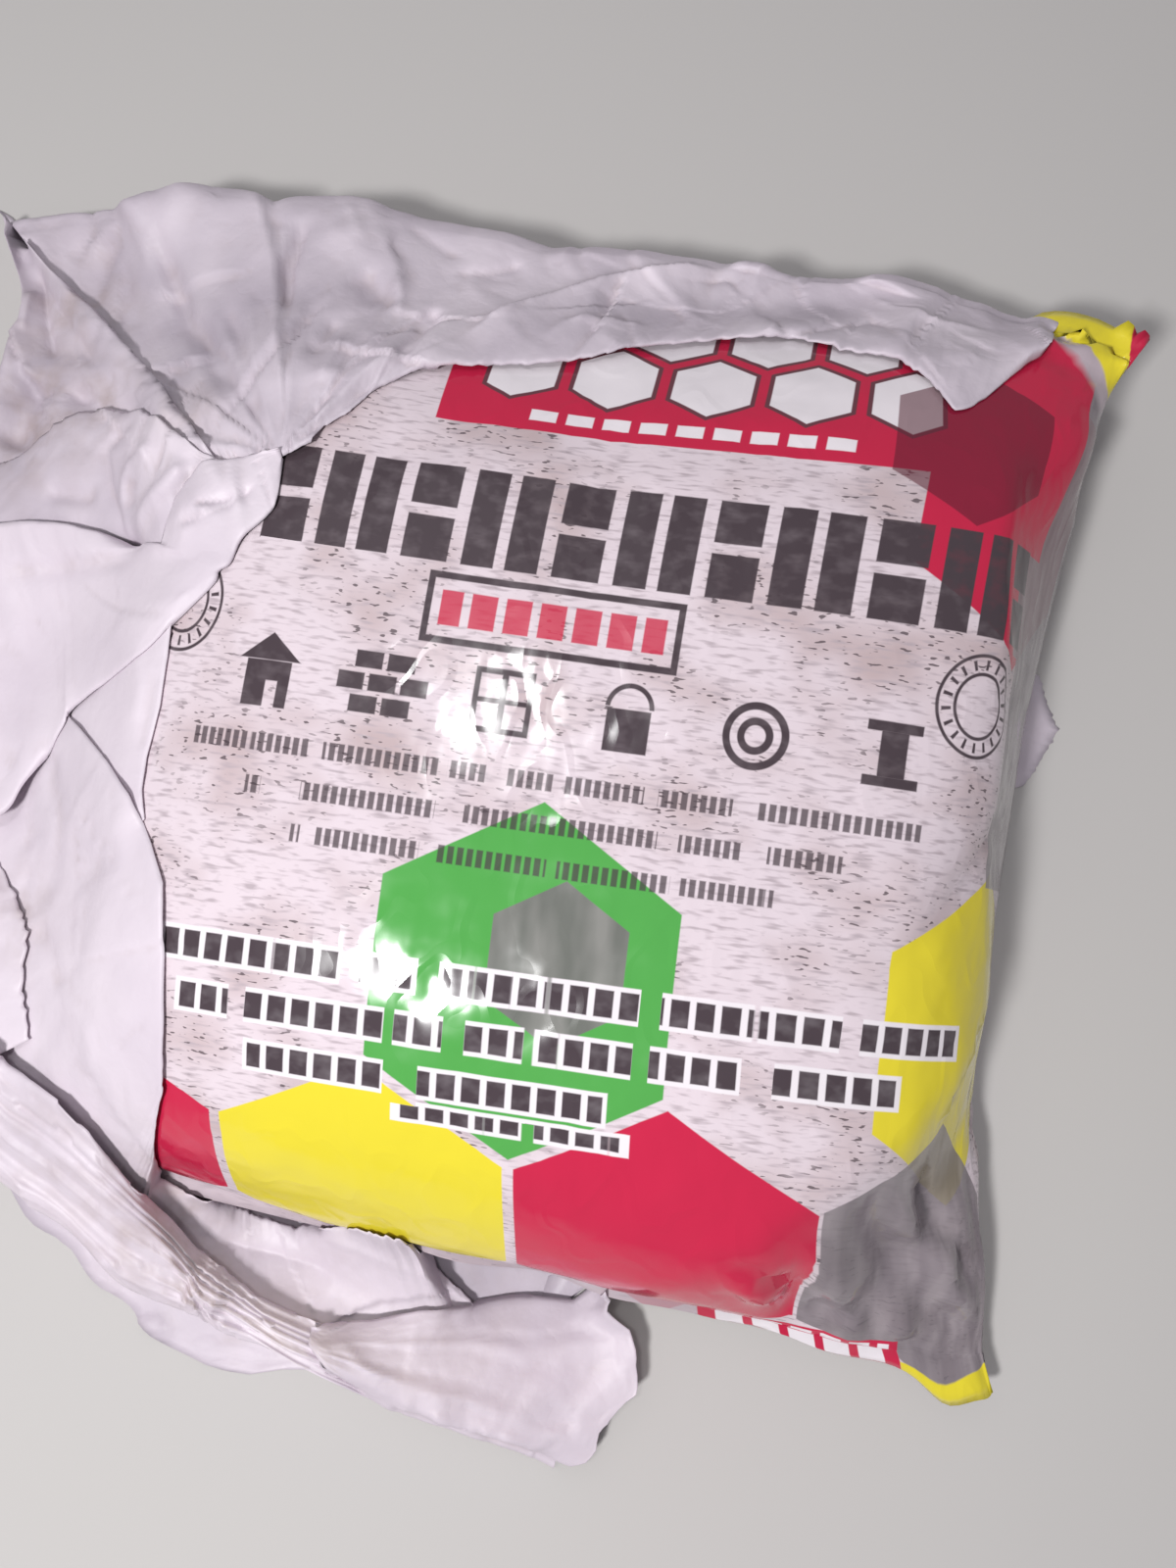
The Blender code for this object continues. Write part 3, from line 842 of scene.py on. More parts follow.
# Each face of the tube gets the finish of its zone, by its place on the flat film.
HEADER_FOOT = 37.0
MIDDLE_FOOT = -41.0
for zone in (header, middle, foot, back):
    pouch.data.materials.append(zone.finish())
BACK_SLOT = 3
film_uv = pouch.data.uv_layers["UVMap"].data
for face in pouch.data.polygons:
    across = sum(film_uv[i].uv.x for i in face.loop_indices) / len(face.loop_indices)
    up = (sum(film_uv[i].uv.y for i in face.loop_indices) / len(face.loop_indices) - 0.5) * FILM_LENGTH * 1000
    if across > 1:
        face.material_index = BACK_SLOT
    elif up > HEADER_FOOT:
        face.material_index = 0
    else:
        face.material_index = 1 if up > MIDDLE_FOOT else 2

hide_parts("printed_pouch")
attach(pouch, "root")


# Sack. One large sheet of thin white film, torn open and folded about the pouch.
# It is laid in panels, from the one on the floor upwards. Each panel spans two
# edges, and hangs tight over all that lies below it, as thin film does.
# The edges are places in the photograph, in pixels of its 1200 x 1600 frame.

FILM_GAP = 0.0006
FILM_THICKNESS = 0.0003
FLOOR_GAP = 0.0011
DRAWING_STEPS = 700
ROLL_STEPS = 9
ROLL_TUCK = 0.012
LOWERED_END = 0.013
TORN_END_HEIGHT = 0.012
sack_parts = []

# Places where the film is darkened, each with a radius in metres and a strength: soil on it,
# and painted shade in the deep pocket at the upper left and under the folded strip.
SOIL_AND_SHADE_HEIGHT = 0.03
SOILED_AND_SHADED = (
    ((35, 415), 0.026, 0.9), ((62, 300), 0.018, 0.7), ((110, 412), 0.014, 0.8), ((100, 300), 0.013, 0.6),
    ((150, 1245), 0.024, 0.75), ((60, 1180), 0.018, 0.5), ((190, 1320), 0.010, 0.8),
    ((300, 1360), 0.020, 0.35), ((480, 1385), 0.030, 0.30), ((225, 460), 0.010, 0.5),
    ((10, 930), 0.014, 0.6),
)


def at_height(place, height):
    """Where the camera's line through a place in the photograph meets a height."""
    focus = LENS / SENSOR_HEIGHT * FRAME_HEIGHT
    line = Vector(((place[0] - FRAME_WIDTH / 2) / focus, (FRAME_HEIGHT / 2 - place[1]) / focus, -1.0))
    line.rotate(camera.rotation_euler)
    return camera.location + line * ((height - camera.location.z) / line.z)


def on_top(place, tree):
    """Where that line first meets what is laid there, else the floor."""
    line = at_height(place, 0.0) - camera.location
    found = tree.ray_cast(camera.location, line)[0]
    return found if found else at_height(place, 0.0)


def tree_of(pieces):
    """The faces of pieces that are already laid, ready to find what a line meets first."""
    points, faces = [], []
    for piece in pieces:
        first = len(points)
        points.extend(v.co.copy() for v in piece.data.vertices)
        faces.extend([first + i for i in face.vertices] for face in piece.data.polygons)
    return BVHTree.FromPolygons(points, faces)


def smooth_rail(points, times, sharp=False):
    """Points of a rail at the given times, through its stations 0, 1, 2 and so on."""
    points = np.array(points, float)
    low = np.clip(np.floor(times).astype(int), 0, len(points) - 2)
    part = (times - low)[:, None]
    before, a = points[np.maximum(low - 1, 0)], points[low]
    b, after = points[low + 1], points[np.minimum(low + 2, len(points) - 1)]
    straight = a + (b - a) * part
    if sharp:
        return straight
    turn_a, turn_b = (b - before) / 2, (after - a) / 2
    p2, p3 = part**2, part**3
    from_a = (2 * p3 - 3 * p2 + 1) * a + (p3 - 2 * p2 + part) * turn_a
    return from_a + (3 * p2 - 2 * p3) * b + (p3 - p2) * turn_b


def even_times(first, second, spacing):
    """Times at which the columns of a panel are evenly spaced between its two rails."""
    middle = (np.array(first, float) + np.array(second, float)) / 2
    fine = np.linspace(0, len(middle) - 1, 40 * len(middle))
    points = smooth_rail(middle, fine, True)
    run = np.concatenate([[0], np.cumsum(np.linalg.norm(np.diff(points, axis=0), axis=1))])
    count = max(4, round(run[-1] / spacing))
    return np.interp(np.linspace(0, run[-1], count + 1), run, fine)


def soil_and_shade_at(grid):
    """How darkened the film is at each point of a grid, by soil and painted shade, from 0 to 1."""
    found = np.zeros(grid.shape[:2])
    for place, radius, strength in SOILED_AND_SHADED:
        middle = at_height(place, SOIL_AND_SHADE_HEIGHT)
        gap = np.hypot(grid[:, :, 0] - middle.x, grid[:, :, 1] - middle.y)
        found = np.maximum(found, strength * np.exp(-((gap / radius) ** 2)))
    return found


def dust_and_shade_in_folds(grid):
    """Dust and painted shade where the film lies lower than the film around it."""
    level = grid[:, :, 2]
    around = (level[4:, 2:-2] + level[:-4, 2:-2] + level[2:-2, 4:] + level[2:-2, :-4]) / 4
    hollow = np.zeros_like(level)
    hollow[2:-2, 2:-2] = around - level[2:-2, 2:-2]
    return 0.40 * np.clip(hollow / 0.0006, 0, 1)


def laid_so_far():
    """What a new panel of the sack lies on: the pouch and all panels but the one on the floor."""
    return [pouch, *sack_parts[1:]]


def for_each(values, places):
    """One value for each place, where a single one stands for all."""
    return values if hasattr(values, "__len__") else [values] * len(places)


class Panel:
    """One panel of film: a grid of places, with rows from its outer to its inner edge.

    heights are those of the outer edge at its stations, bulge is how far the film
    swells past it before it turns down to the floor, lift is how far the inner
    edge stands off what it lies on, and end is the line that the last column follows.
    With drapes the swollen edge comes down on what lies below it, else on the floor.
    """

    def __init__(self, outer, inner, heights, below, spacing=0.0012, lift=0.0012, bulge=0.0, drapes=False,
                 sharp_outer=False, jag_outer=0.0, jag_inner=0.0, end=None, jag_end=0.0, seed=1):
        self.tree = tree_of(below)
        self.bulge = bulge
        self.drapes = drapes
        heights = for_each(heights, outer)
        first, reaches = self.outer_edge(outer, heights)
        second = [on_top(place, self.tree) for place in inner]
        self.times = even_times(first, second, spacing)
        a = smooth_rail(first, self.times, sharp_outer)
        b = smooth_rail(second, self.times, True)
        across = b - a
        across[:, 2] = 0
        wide = np.linalg.norm(across, axis=1)[:, None]
        across = across / np.maximum(wide, 1e-6)
        self.outward = -across
        a = a + across * self.by_column(reaches)
        a[:, :2] += across[:, :2] * jag_outer * self.tatter(self.times * 9.0, seed)[:, None]
        jag = self.by_column(for_each(jag_inner, inner))
        b[:, :2] += across[:, :2] * jag * self.tatter(self.times * 8.0, seed + 5)[:, None]
        share = np.linspace(0, 1, max(4, round(float(np.mean(wide)) / spacing)) + 1)
        self.grid = a[None] * (1 - share)[:, None, None] + b[None] * share[:, None, None]
        if end:
            self.tear_off(end, jag_end, seed)
        self.floor = self.support()
        lifts = self.by_column(for_each(lift, inner))
        self.draw_tight(self.by_column(heights, sharp=False)[:, 0], lifts[:, 0])
        rows, columns = self.grid.shape[:2]
        corners = [r * columns + c for r in range(rows - 1) for c in range(columns - 1)]
        faces = [(k, k + 1, k + columns + 1, k + columns) for k in corners]
        self.laid = BVHTree.FromPolygons([Vector(p) for p in self.grid.reshape(-1, 3)], faces)

    def outer_edge(self, outer, heights):
        """Places of the outer edge, and how far in it stands so that the swollen film's outline fits them."""
        edge, reaches = [], []
        for place, height in zip(outer, heights):
            spot = on_top(place, self.tree)
            reach = 0.0
            if self.bulge:
                run = (at_height(place, height) - camera.location).to_2d().length
                turn = math.atan2(2 * self.bulge * (camera.location.z - height), run * height)
                spot = at_height(place, height * (1 + math.cos(turn)) / 2)
                reach = self.bulge * math.sin(turn)
            elif spot.z < height:
                spot = at_height(place, height)
            edge.append(spot)
            reaches.append(reach)
        return edge, reaches

    def by_column(self, values, sharp=True):
        """Values given at the stations of an edge, as one for each column of the grid."""
        return smooth_rail([(value,) for value in values], self.times, sharp)

    def tear_off(self, end, jag, seed):
        """Bring the last columns to a torn end, which runs along a line of places."""
        stations = np.linspace(0, len(end) - 1, len(self.grid))
        line = smooth_rail([at_height(place, TORN_END_HEIGHT) for place in end], stations, True)[:, :2]
        line[:, 0] += jag * self.tatter(stations * 9.0, seed + 11)
        shift = line - self.grid[:, -1, :2]
        reach = eased((np.linspace(0, 1, len(self.times)) - 0.55) / 0.45)
        self.grid[:, :, :2] += shift[:, None, :] * reach[None, :, None]

    def draw_tight(self, tall, lift):
        """Set the heights of film that is drawn tight between its edges, over what lies below it."""
        low = self.floor + FILM_GAP
        z = low.copy()
        z[0] = np.maximum(tall, low[0])
        z[-1] = low[-1] + lift
        for _ in range(DRAWING_STEPS):
            mean = z.copy()
            mean[1:-1, 1:-1] = (z[2:, 1:-1] + z[:-2, 1:-1] + z[1:-1, 2:] + z[1:-1, :-2]) / 4
            mean[1:-1, 0] = (z[2:, 0] + z[:-2, 0] + 2 * z[1:-1, 1]) / 4
            mean[1:-1, -1] = (z[2:, -1] + z[:-2, -1] + 2 * z[1:-1, -2]) / 4
            z = np.maximum(mean, low)
        self.grid[:, :, 2] = z

    @staticmethod
    def tatter(times, seed):
        """The wandering of a torn edge along its length, from about -1 to 1."""
        places = np.stack([times, np.full_like(times, seed * 7.31), np.zeros_like(times)], axis=-1)
        return noise_at(places) + 0.5 * noise_at(places * 2.6) + 0.25 * noise_at(places * 6.1)

    def support(self):
        """Height of what lies below each point of the grid."""
        found = np.zeros(self.grid.shape[:2])
        down = Vector((0, 0, -1))
        for r in range(found.shape[0]):
            for c in range(found.shape[1]):
                x, y = self.grid[r, c, :2]
                hit = self.tree.ray_cast(Vector((x, y, 1.0)), down)[0]
                if hit:
                    found[r, c] = hit.z
        return found

    def near(self, line):
        """Signed distance to a line of places, positive on its left, and how far along it, 0 to 1."""
        points = np.array([on_top(p, self.laid)[:2] for p in line])
        best = np.full(self.grid.shape[:2], 9.0)
        side = np.ones_like(best)
        along = np.zeros_like(best)
        lengths = np.linalg.norm(np.diff(points, axis=0), axis=1)
        run = np.concatenate([[0], np.cumsum(lengths)])
        for i, (a, b) in enumerate(zip(points, points[1:])):
            run_vector = b - a
            from_a = self.grid[:, :, :2] - a
            part = np.clip((from_a @ run_vector) / max(1e-12, run_vector @ run_vector), 0, 1)
            gap = from_a - part[:, :, None] * run_vector
            distance = np.linalg.norm(gap, axis=2)
            closer = distance < best
            best = np.where(closer, distance, best)
            cross = run_vector[0] * from_a[:, :, 1] - run_vector[1] * from_a[:, :, 0]
            side = np.where(closer, np.sign(cross), side)
            along = np.where(closer, (run[i] + part * lengths[i]) / run[-1], along)
        return best * side, along

    def fold(self, height, left, right, *line, soft=False):
        """Raise, or with a height below 0 press in, a fold along a line of places; all in millimetres."""
        distance, along = self.near(line)
        reach = np.abs(distance) / np.where(distance > 0, left / 1000, right / 1000)
        shape = np.exp(-(reach**2)) if soft else np.exp(-reach)
        self.grid[:, :, 2] += height / 1000 * shape * eased(np.minimum(along, 1 - along) / 0.22 + 0.08)

    def puff(self, height, first=0.0, last=1.0, power=0.5):
        """Slack film stands off what it lies on, between two shares of the panel's length."""
        rows, columns = self.grid.shape[:2]
        r = np.linspace(0, 1, rows)[:, None]
        c = np.linspace(0, 1, columns)[None]
        window = eased((c - first) / 0.12) * eased((last - c) / 0.12)
        self.grid[:, :, 2] += height * (4 * r * (1 - r)) ** power * window

    def fan(self, place, count, height, near, far, seed, wander=0.5):
        """Folds that run out from a gathered place, highest between the distances near and far."""
        middle = on_top(place, self.laid)
        x = self.grid[:, :, 0] - middle.x
        y = self.grid[:, :, 1] - middle.y
        reach = np.hypot(x, y)
        places = np.stack([self.grid[:, :, 0] * 35, self.grid[:, :, 1] * 35, np.full_like(x, seed)], axis=-1)
        phase = np.arctan2(y, x) / (2 * math.pi) * count + wander * noise_at(places)
        shown = eased(reach / near) * eased((far * 1.6 - reach) / (far * 0.6))
        self.grid[:, :, 2] += height * ridged(phase, seed) * shown

    def pleats(self, count, height, seed, wander):
        """Many long folds side by side, which run along the panel."""
        rows, columns = self.grid.shape[:2]
        across = np.linspace(0, 1, rows)[:, None] * np.ones((1, columns))
        along = np.linspace(0, 1, columns)[None] * np.ones((rows, 1))
        bend = noise_at(np.stack([along * 7.0, across * 3, np.full_like(across, seed)], axis=-1))
        ends = np.clip(along / 0.08, 0, 1) * np.clip((1 - along) / 0.08, 0, 1)
        self.grid[:, :, 2] += height * ridged(across * count + wander * bend, seed) * ends

    def crumple(self, seed, *kinds):
        """Small flat facets all over, of one or two kinds, each given as its height and size."""
        for height, size in kinds:
            self.grid[:, :, 2] += height * facets(self.grid[:, :, 0], self.grid[:, :, 1], size, seed)
            seed += 10

    def lower_end(self):
        """Bend the first columns, which lie past the edge of the photograph, down to what is below."""
        steps = np.linalg.norm(np.diff(self.grid.mean(axis=0)[:, :2], axis=0), axis=1)
        run = np.concatenate([[0], np.cumsum(steps)])
        low = self.floor + FILM_GAP
        self.grid[:, :, 2] = low + (self.grid[:, :, 2] - low) * eased(run / LOWERED_END)[None]

    def rolled(self):
        """The grid with a swollen outer edge rolled down to what is below and tucked in there."""
        if not self.bulge:
            return self.grid
        edge = self.grid[0]
        bottom = np.maximum(FLOOR_GAP, self.floor[0] + FILM_GAP) if self.drapes else FLOOR_GAP
        rows = []
        for k in range(1, ROLL_STEPS + 1):
            angle = math.pi * k / ROLL_STEPS
            row = edge + self.outward * (self.bulge * math.sin(angle))
            row[:, 2] = bottom + (edge[:, 2] - bottom) * (1 + math.cos(angle)) / 2
            rows.append(row)
        for k in (1, 2):
            row = edge - self.outward * (ROLL_TUCK * k / 2)
            row[:, 2] = bottom - 0.0002 * k
            rows.append(row)
        return np.concatenate([np.array(rows[::-1]), self.grid], axis=0)

    def make(self, name, thin=0.0):
        """The finished piece of film, with its thickness, finish and place in the assembly.

        The last argument says how dark the film is made, from its first to its last column:
        where it is thin and clear, and on the top flap and folded corner also as painted shade.
        """
        self.grid[:, :, 2] = np.maximum(self.grid[:, :, 2], self.floor + FILM_GAP)
        grid = self.rolled()
        rows, columns = grid.shape[:2]
        bpy.ops.object.select_all(action="DESELECT")
        bpy.ops.mesh.primitive_grid_add(x_subdivisions=columns - 1, y_subdivisions=rows - 1, size=1.0)
        sheet = bpy.context.active_object
        sheet.name = name
        sheet.data.vertices.foreach_set("co", grid.astype(np.float32).ravel())
        # How much darker the film is made: where it is thin and clear, and on the top flap and folded corner
        # as painted shade.
        clouds = 0.85 + 0.7 * noise_at(grid * 30.0) + 0.5 * noise_at(grid * 75.0)
        first, last = for_each(thin, ("first column", "last column"))
        thinness_and_shade = np.clip(np.linspace(first, last, columns)[None] * clouds, 0, 1)
        for mark, values in (("thin", thinness_and_shade), ("soil", np.maximum(soil_and_shade_at(grid), dust_and_shade_in_folds(grid)))):
            layer = sheet.data.attributes.new(mark, "FLOAT", "POINT")
            layer.data.foreach_set("value", values.astype(np.float32).ravel())
        bm = bmesh.new()
        bm.from_mesh(sheet.data)
        if sum(f.normal.z * f.calc_area() for f in bm.faces) < 0:
            bmesh.ops.reverse_faces(bm, faces=bm.faces)
        bm.to_mesh(sheet.data)
        bm.free()
        sheet.data.update()
        sheet.data.shade_smooth()
        wall = sheet.modifiers.new("Film", "SOLIDIFY")
        wall.thickness = FILM_THICKNESS
        wall.offset = -1
        bpy.context.view_layer.objects.active = sheet
        bpy.ops.object.modifier_apply(modifier=wall.name)
        sheet.data.materials.append(white_film)
        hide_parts("outer_sack")
        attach(sheet, "root")
        sack_parts.append(sheet)


# White film. It is cloudy, darker where it is thin and clear, and brown where soil
# from the ground clings to it. Both darkenings also hold painted shade: in the hollows
# and folds, and on the top flap and folded corner.

FILM_WHITE = (0.72, 0.64, 0.705, 1)
FILM_GREY = (0.64, 0.56, 0.63, 1)
FILM_CLEAR_AND_SHADED = (0.33, 0.285, 0.345, 1)
SOIL_AND_SHADE = (0.30, 0.215, 0.18, 1)
CLOUD_GRAIN = 0.045
SOIL_AND_SHADE_GRAIN = 0.009
CRINKLE_GRAIN = 0.010

white_film = bpy.data.materials.new("white_film")
white_film.use_nodes = True
tree = white_film.node_tree
film_shader = tree.nodes["Principled BSDF"]
spot = tree.nodes.new("ShaderNodeTexCoord").outputs["Object"]
marks = {}
for mark in ("thin", "soil"):
    read = tree.nodes.new("ShaderNodeAttribute")
    read.attribute_name = mark
    marks[mark] = read.outputs["Fac"]
cloudy = grains(tree, spot, CLOUD_GRAIN, CLOUD_GRAIN, 2, dimensions="3D")
colour = tint(tree, above(tree, cloudy, 0.35, 0.70), FILM_WHITE, FILM_GREY)
# Darker where the film is thin and clear, and painted shade on the top flap and folded corner.
colour = tint(tree, marks["thin"], colour, FILM_CLEAR_AND_SHADED)
# Brown soil, with painted shade in the hollows, in the pocket and under the strip.
soil_and_shade_grain = grains(tree, spot, SOIL_AND_SHADE_GRAIN, SOIL_AND_SHADE_GRAIN, 3, 3.0, dimensions="3D")
soiled_and_shaded = work(tree, "MULTIPLY", above(tree, soil_and_shade_grain, 0.40, 0.70, 0.10, 0.62), marks["soil"])
colour = tint(tree, soiled_and_shaded, colour, SOIL_AND_SHADE)
tree.links.new(colour, film_shader.inputs["Base Color"])
tree.links.new(above(tree, cloudy, 0.3, 0.7, 0.44, 0.60), film_shader.inputs["Roughness"])
wrinkled = grains(tree, spot, CRINKLE_GRAIN, CRINKLE_GRAIN, 3, 7.0, dimensions="3D")
crinkles = work(tree, "ABSOLUTE", work(tree, "SUBTRACT", wrinkled, 0.5))
film_bump = tree.nodes.new("ShaderNodeBump")
film_bump.inputs["Strength"].default_value = 0.45
film_bump.inputs["Distance"].default_value = 0.0012
tree.links.new(crinkles, film_bump.inputs["Height"])
tree.links.new(film_bump.outputs["Normal"], film_shader.inputs["Normal"])

# Lower sheet of the sack, of the same film. It lies flat on the floor below the
# pouch. Its torn border shows at the left, and one scrap of it at the right side.

UNDERLAY_OUTER = (
    (1000, 370), (880, 350), (700, 330), (560, 315), (400, 290), (275, 280), (189, 280), (120, 290),
    (70, 320), (45, 420), (20, 500), (-30, 620), (-50, 850), (-40, 1000), (-22, 1120), (20, 1232),
    (67, 1270), (91, 1302), (132, 1332), (144, 1352), (176, 1376), (243, 1402), (308, 1396), (380, 1410),
    (470, 1420), (520, 1420),
)
UNDERLAY_INNER = (
    (1020, 420), (1010, 440), (1003, 470), (1000, 500), (998, 530), (996, 560), (994, 600), (992, 640),
    (1040, 680), (1060, 690), (1066, 715), (1080, 745), (1062, 775), (1045, 802), (1000, 812), (985, 850),
    (980, 900), (975, 950), (970, 1000), (955, 1050), (930, 1100), (900, 1140), (850, 1180), (760, 1220),
    (660, 1260), (560, 1300),
)
UNDERLAY_LEVEL = 0.0004
TORN_TAGS = (
    ((96, 1290), (112, 1318)), ((150, 1340), (166, 1366)),
    ((214, 1366), (222, 1392)), ((262, 1374), (270, 1396)),
)
underlay = Panel(UNDERLAY_OUTER, UNDERLAY_INNER, UNDERLAY_LEVEL, [], spacing=0.0030, lift=0.0,
                 jag_outer=0.0008, jag_inner=0.0008, seed=3)
underlay.grid[:, :, 2] = UNDERLAY_LEVEL
for start, stop in TORN_TAGS:
    underlay.fold(2.2, 2.5, 4, start, stop)
underlay.fold(1.2, 2, 4, (1040, 690), (1062, 735), (1050, 790))
underlay.make("sack_underlay", thin=(0.0, 0.55))

# Thin inner layer of the sack. It comes out from below the side panels and
# lies close on the print, and one sees it only along its edge.

LINING_OUTER = ((150, 600), (110, 640), (80, 690), (60, 740), (60, 790), (80, 840), (110, 880))
LINING_INNER = ((190, 612), (176, 638), (172, 670), (164, 722), (151, 773), (146, 805), (148, 836))
lining = Panel(LINING_OUTER, LINING_INNER, 0.030, [pouch], lift=0.0006, seed=4)
lining.puff(0.0012)
lining.fold(1.2, 2, 4, (140, 662), (146, 700), (138, 742))
lining.fold(-0.9, 2, 2, (160, 680), (152, 730), (142, 770), soft=True)
lining.crumple(4, (0.0004, 0.013))
lining.make("sack_lining")

# Lower panel of the sack. It stands at the left side, leans on the pouch and
# is torn off along its right and its lower edge.

LOWER_OUTER = (
    (-62, 640), (-66, 780), (-66, 860), (-62, 950), (-55, 1020), (-45, 1090), (-20, 1160), (20, 1215),
    (76, 1262), (126, 1312), (190, 1335), (264, 1360), (330, 1392), (400, 1425), (460, 1450), (520, 1470),
    (545, 1480),
)
LOWER_INNER = (
    (64, 712), (82, 741), (110, 776), (134, 811), (155, 860), (168, 901), (169, 973), (169, 1040),
    (169, 1110), (166, 1199), (214, 1224), (262, 1236), (307, 1249), (365, 1253), (411, 1263), (448, 1289),
    (482, 1322),
)
lower = Panel(LOWER_OUTER, LOWER_INNER, [0.024] * 4 + [0.022] * 3 + [0.018] * 6 + [0.010] * 4,
              laid_so_far(), lift=[0.0008] * 8 + [0.0016] * 6 + [0.0026] * 3, bulge=0.005,
              jag_inner=[0.0] * 8 + [0.0012] * 9, seed=5)
lower.puff(0.0018)
lower.fold(-2.0, 4, 4, (52, 753), (62, 835), (58, 890), (38, 942), soft=True)
lower.fold(-1.6, 4, 4, (120, 856), (100, 884), (76, 904), soft=True)
lower.fold(-1.8, 4, 3, (38, 939), (52, 966), (64, 1014), soft=True)
lower.fold(1.3, 1.5, 5, (62, 1018), (71, 1018), (83, 1032), (93, 1052), (98, 1076), (95, 1100))
lower.fold(-1.0, 2, 2, (151, 1039), (134, 1056), (117, 1073))
lower.fold(1.8, 2, 4, (188, 1220), (268, 1242), (362, 1271), (440, 1300))
lower.fold(-2.0, 3, 3, (204, 1258), (254, 1274), (321, 1290), (356, 1309))
lower.fold(1.5, 3, 2, (420, 1290), (470, 1322), (520, 1345))
lower.crumple(5, (0.0016, 0.020), (0.0006, 0.009))
lower.lower_end()
lower.make("sack_lower_panel", thin=0.12)

# Torn strip of the same white film. It hangs on the lower panel by one end and
# lies loose on the panel's left side.

STRIP_OUTER = ((-40, 880), (-45, 920), (-45, 980), (-40, 1040), (-30, 1090))
STRIP_INNER = ((-2, 877), (20, 918), (30, 950), (26, 1010), (33, 1060))
strip = Panel(STRIP_OUTER, STRIP_INNER, 0.030, laid_so_far(), lift=0.0010, jag_inner=0.0015, seed=12)
strip.crumple(12, (0.0005, 0.012))
strip.lower_end()
strip.make("sack_torn_strip", thin=0.15)

# Band of the sack. It is drawn tight across the lower left corner and round the
# bottom of the pouch, and all its length lies in narrow pleats.

BAND_OUTER = (
    (-62, 1120), (-40, 1172), (0, 1206), (32, 1230), (70, 1256), (107, 1292), (139, 1318), (177, 1334),
    (209, 1347), (236, 1362), (279, 1379), (322, 1402), (365, 1422), (405, 1439), (451, 1450), (490, 1462),
    (515, 1468), (535, 1472),
)
BAND_INNER = (
    (-50, 1030), (-25, 1050), (0, 1070), (17, 1083), (41, 1100), (65, 1118), (98, 1151), (121, 1180),
    (150, 1212), (206, 1266), (241, 1295), (268, 1317), (303, 1335), (330, 1346), (370, 1384), (420, 1416),
    (480, 1440), (520, 1462),
)
band = Panel(BAND_OUTER, BAND_INNER, [0.022] * 9 + [0.018] * 4 + [0.012] * 5, laid_so_far(),
             lift=[0.0045] * 12 + [0.003, 0.002, 0.001, 0.001, 0.001, 0.001], bulge=0.005, seed=6)
band.puff(0.0030)
band.pleats(9, 0.0036, seed=2, wander=0.5)
band.fold(2.6, 3, 1.5, (3, 1180), (24, 1204), (70, 1252), (107, 1284), (161, 1311), (188, 1325))
band.fold(3.0, 3, 3, (190, 1312), (212, 1318), (232, 1330), soft=True)
band.fan((205, 1320), 26, 0.0016, 0.004, 0.016, 8)
band.crumple(6, (0.0006, 0.012))
band.lower_end()
band.make("sack_band", thin=(0.22, 0.14))

# End of the band, of the same film. Past the pinch it spreads like a fan, with many
# fine folds that run out from the pinch, and is torn off.

FAN_OUTER = (
    (322, 1372), (345, 1398), (380, 1420), (420, 1441), (455, 1453), (500, 1471), (537, 1485), (566, 1500),
)
FAN_INNER = (
    (322, 1346), (350, 1344), (382, 1343), (430, 1334), (485, 1325), (537, 1316), (585, 1311), (617, 1308),
)
FAN_END = (
    (566, 1500), (583, 1504), (599, 1499), (609, 1484), (612, 1464), (622, 1456), (626, 1447), (643, 1430),
    (652, 1424), (649, 1398), (650, 1381), (643, 1359), (632, 1349), (619, 1336), (623, 1320), (617, 1305),
)
fan = Panel(FAN_OUTER, FAN_INNER, [0.016, 0.014, 0.012, 0.010, 0.009, 0.008, 0.007, 0.006],
            laid_so_far(), lift=[0.003, 0.003, 0.003, 0.002, 0.002, 0.002, 0.002, 0.002], bulge=0.003,
            end=FAN_END, jag_end=0.0004, seed=13)
fan.puff(0.0036, first=-0.05, last=1.12, power=0.7)
fan.fan((328, 1345), 46, 0.0026, 0.012, 0.090, 3, wander=0.4)
fan.fold(2.0, 1.2, 5, (330, 1345), (356, 1367), (379, 1392), (422, 1410), (480, 1427))
fan.fold(-1.2, 2, 2, (508, 1450), (550, 1450), (594, 1447))
fan.crumple(13, (0.0008, 0.016), (0.0003, 0.007))
fan.make("sack_band_end", thin=0.22)

# Top flap of the sack. It stands up round the top of the pouch, falls over its
# edge in slack folds that run together at the gather, and ends torn.

GATHER = (285, 466)
FLAP_OUTER = (
    (10, 227), (60, 219), (95, 216), (116, 214), (126, 203), (155, 194), (196, 188), (240, 195),
    (276, 205), (300, 200), (346, 199), (377, 203), (407, 216), (451, 226), (522, 240), (565, 252),
    (606, 253), (657, 257), (700, 263), (765, 271), (800, 280), (865, 283), (908, 282), (940, 290),
    (965, 299), (990, 307), (1008, 312), (1024, 320), (1040, 325), (1056, 328), (1071, 341),
)
FLAP_INNER = (
    (212, 476), (220, 480), (228, 482), (236, 483), (244, 483), (252, 482), (262, 480), (272, 477),
    (281, 473), (291, 467), (302, 463), (319, 455), (330, 438), (355, 424), (384, 398), (427, 380),
    (475, 376), (542, 375), (601, 370), (645, 359), (715, 352), (804, 347), (860, 360), (915, 370),
    (948, 392), (973, 421), (990, 417), (1007, 406), (1026, 390), (1046, 374), (1060, 366),
)
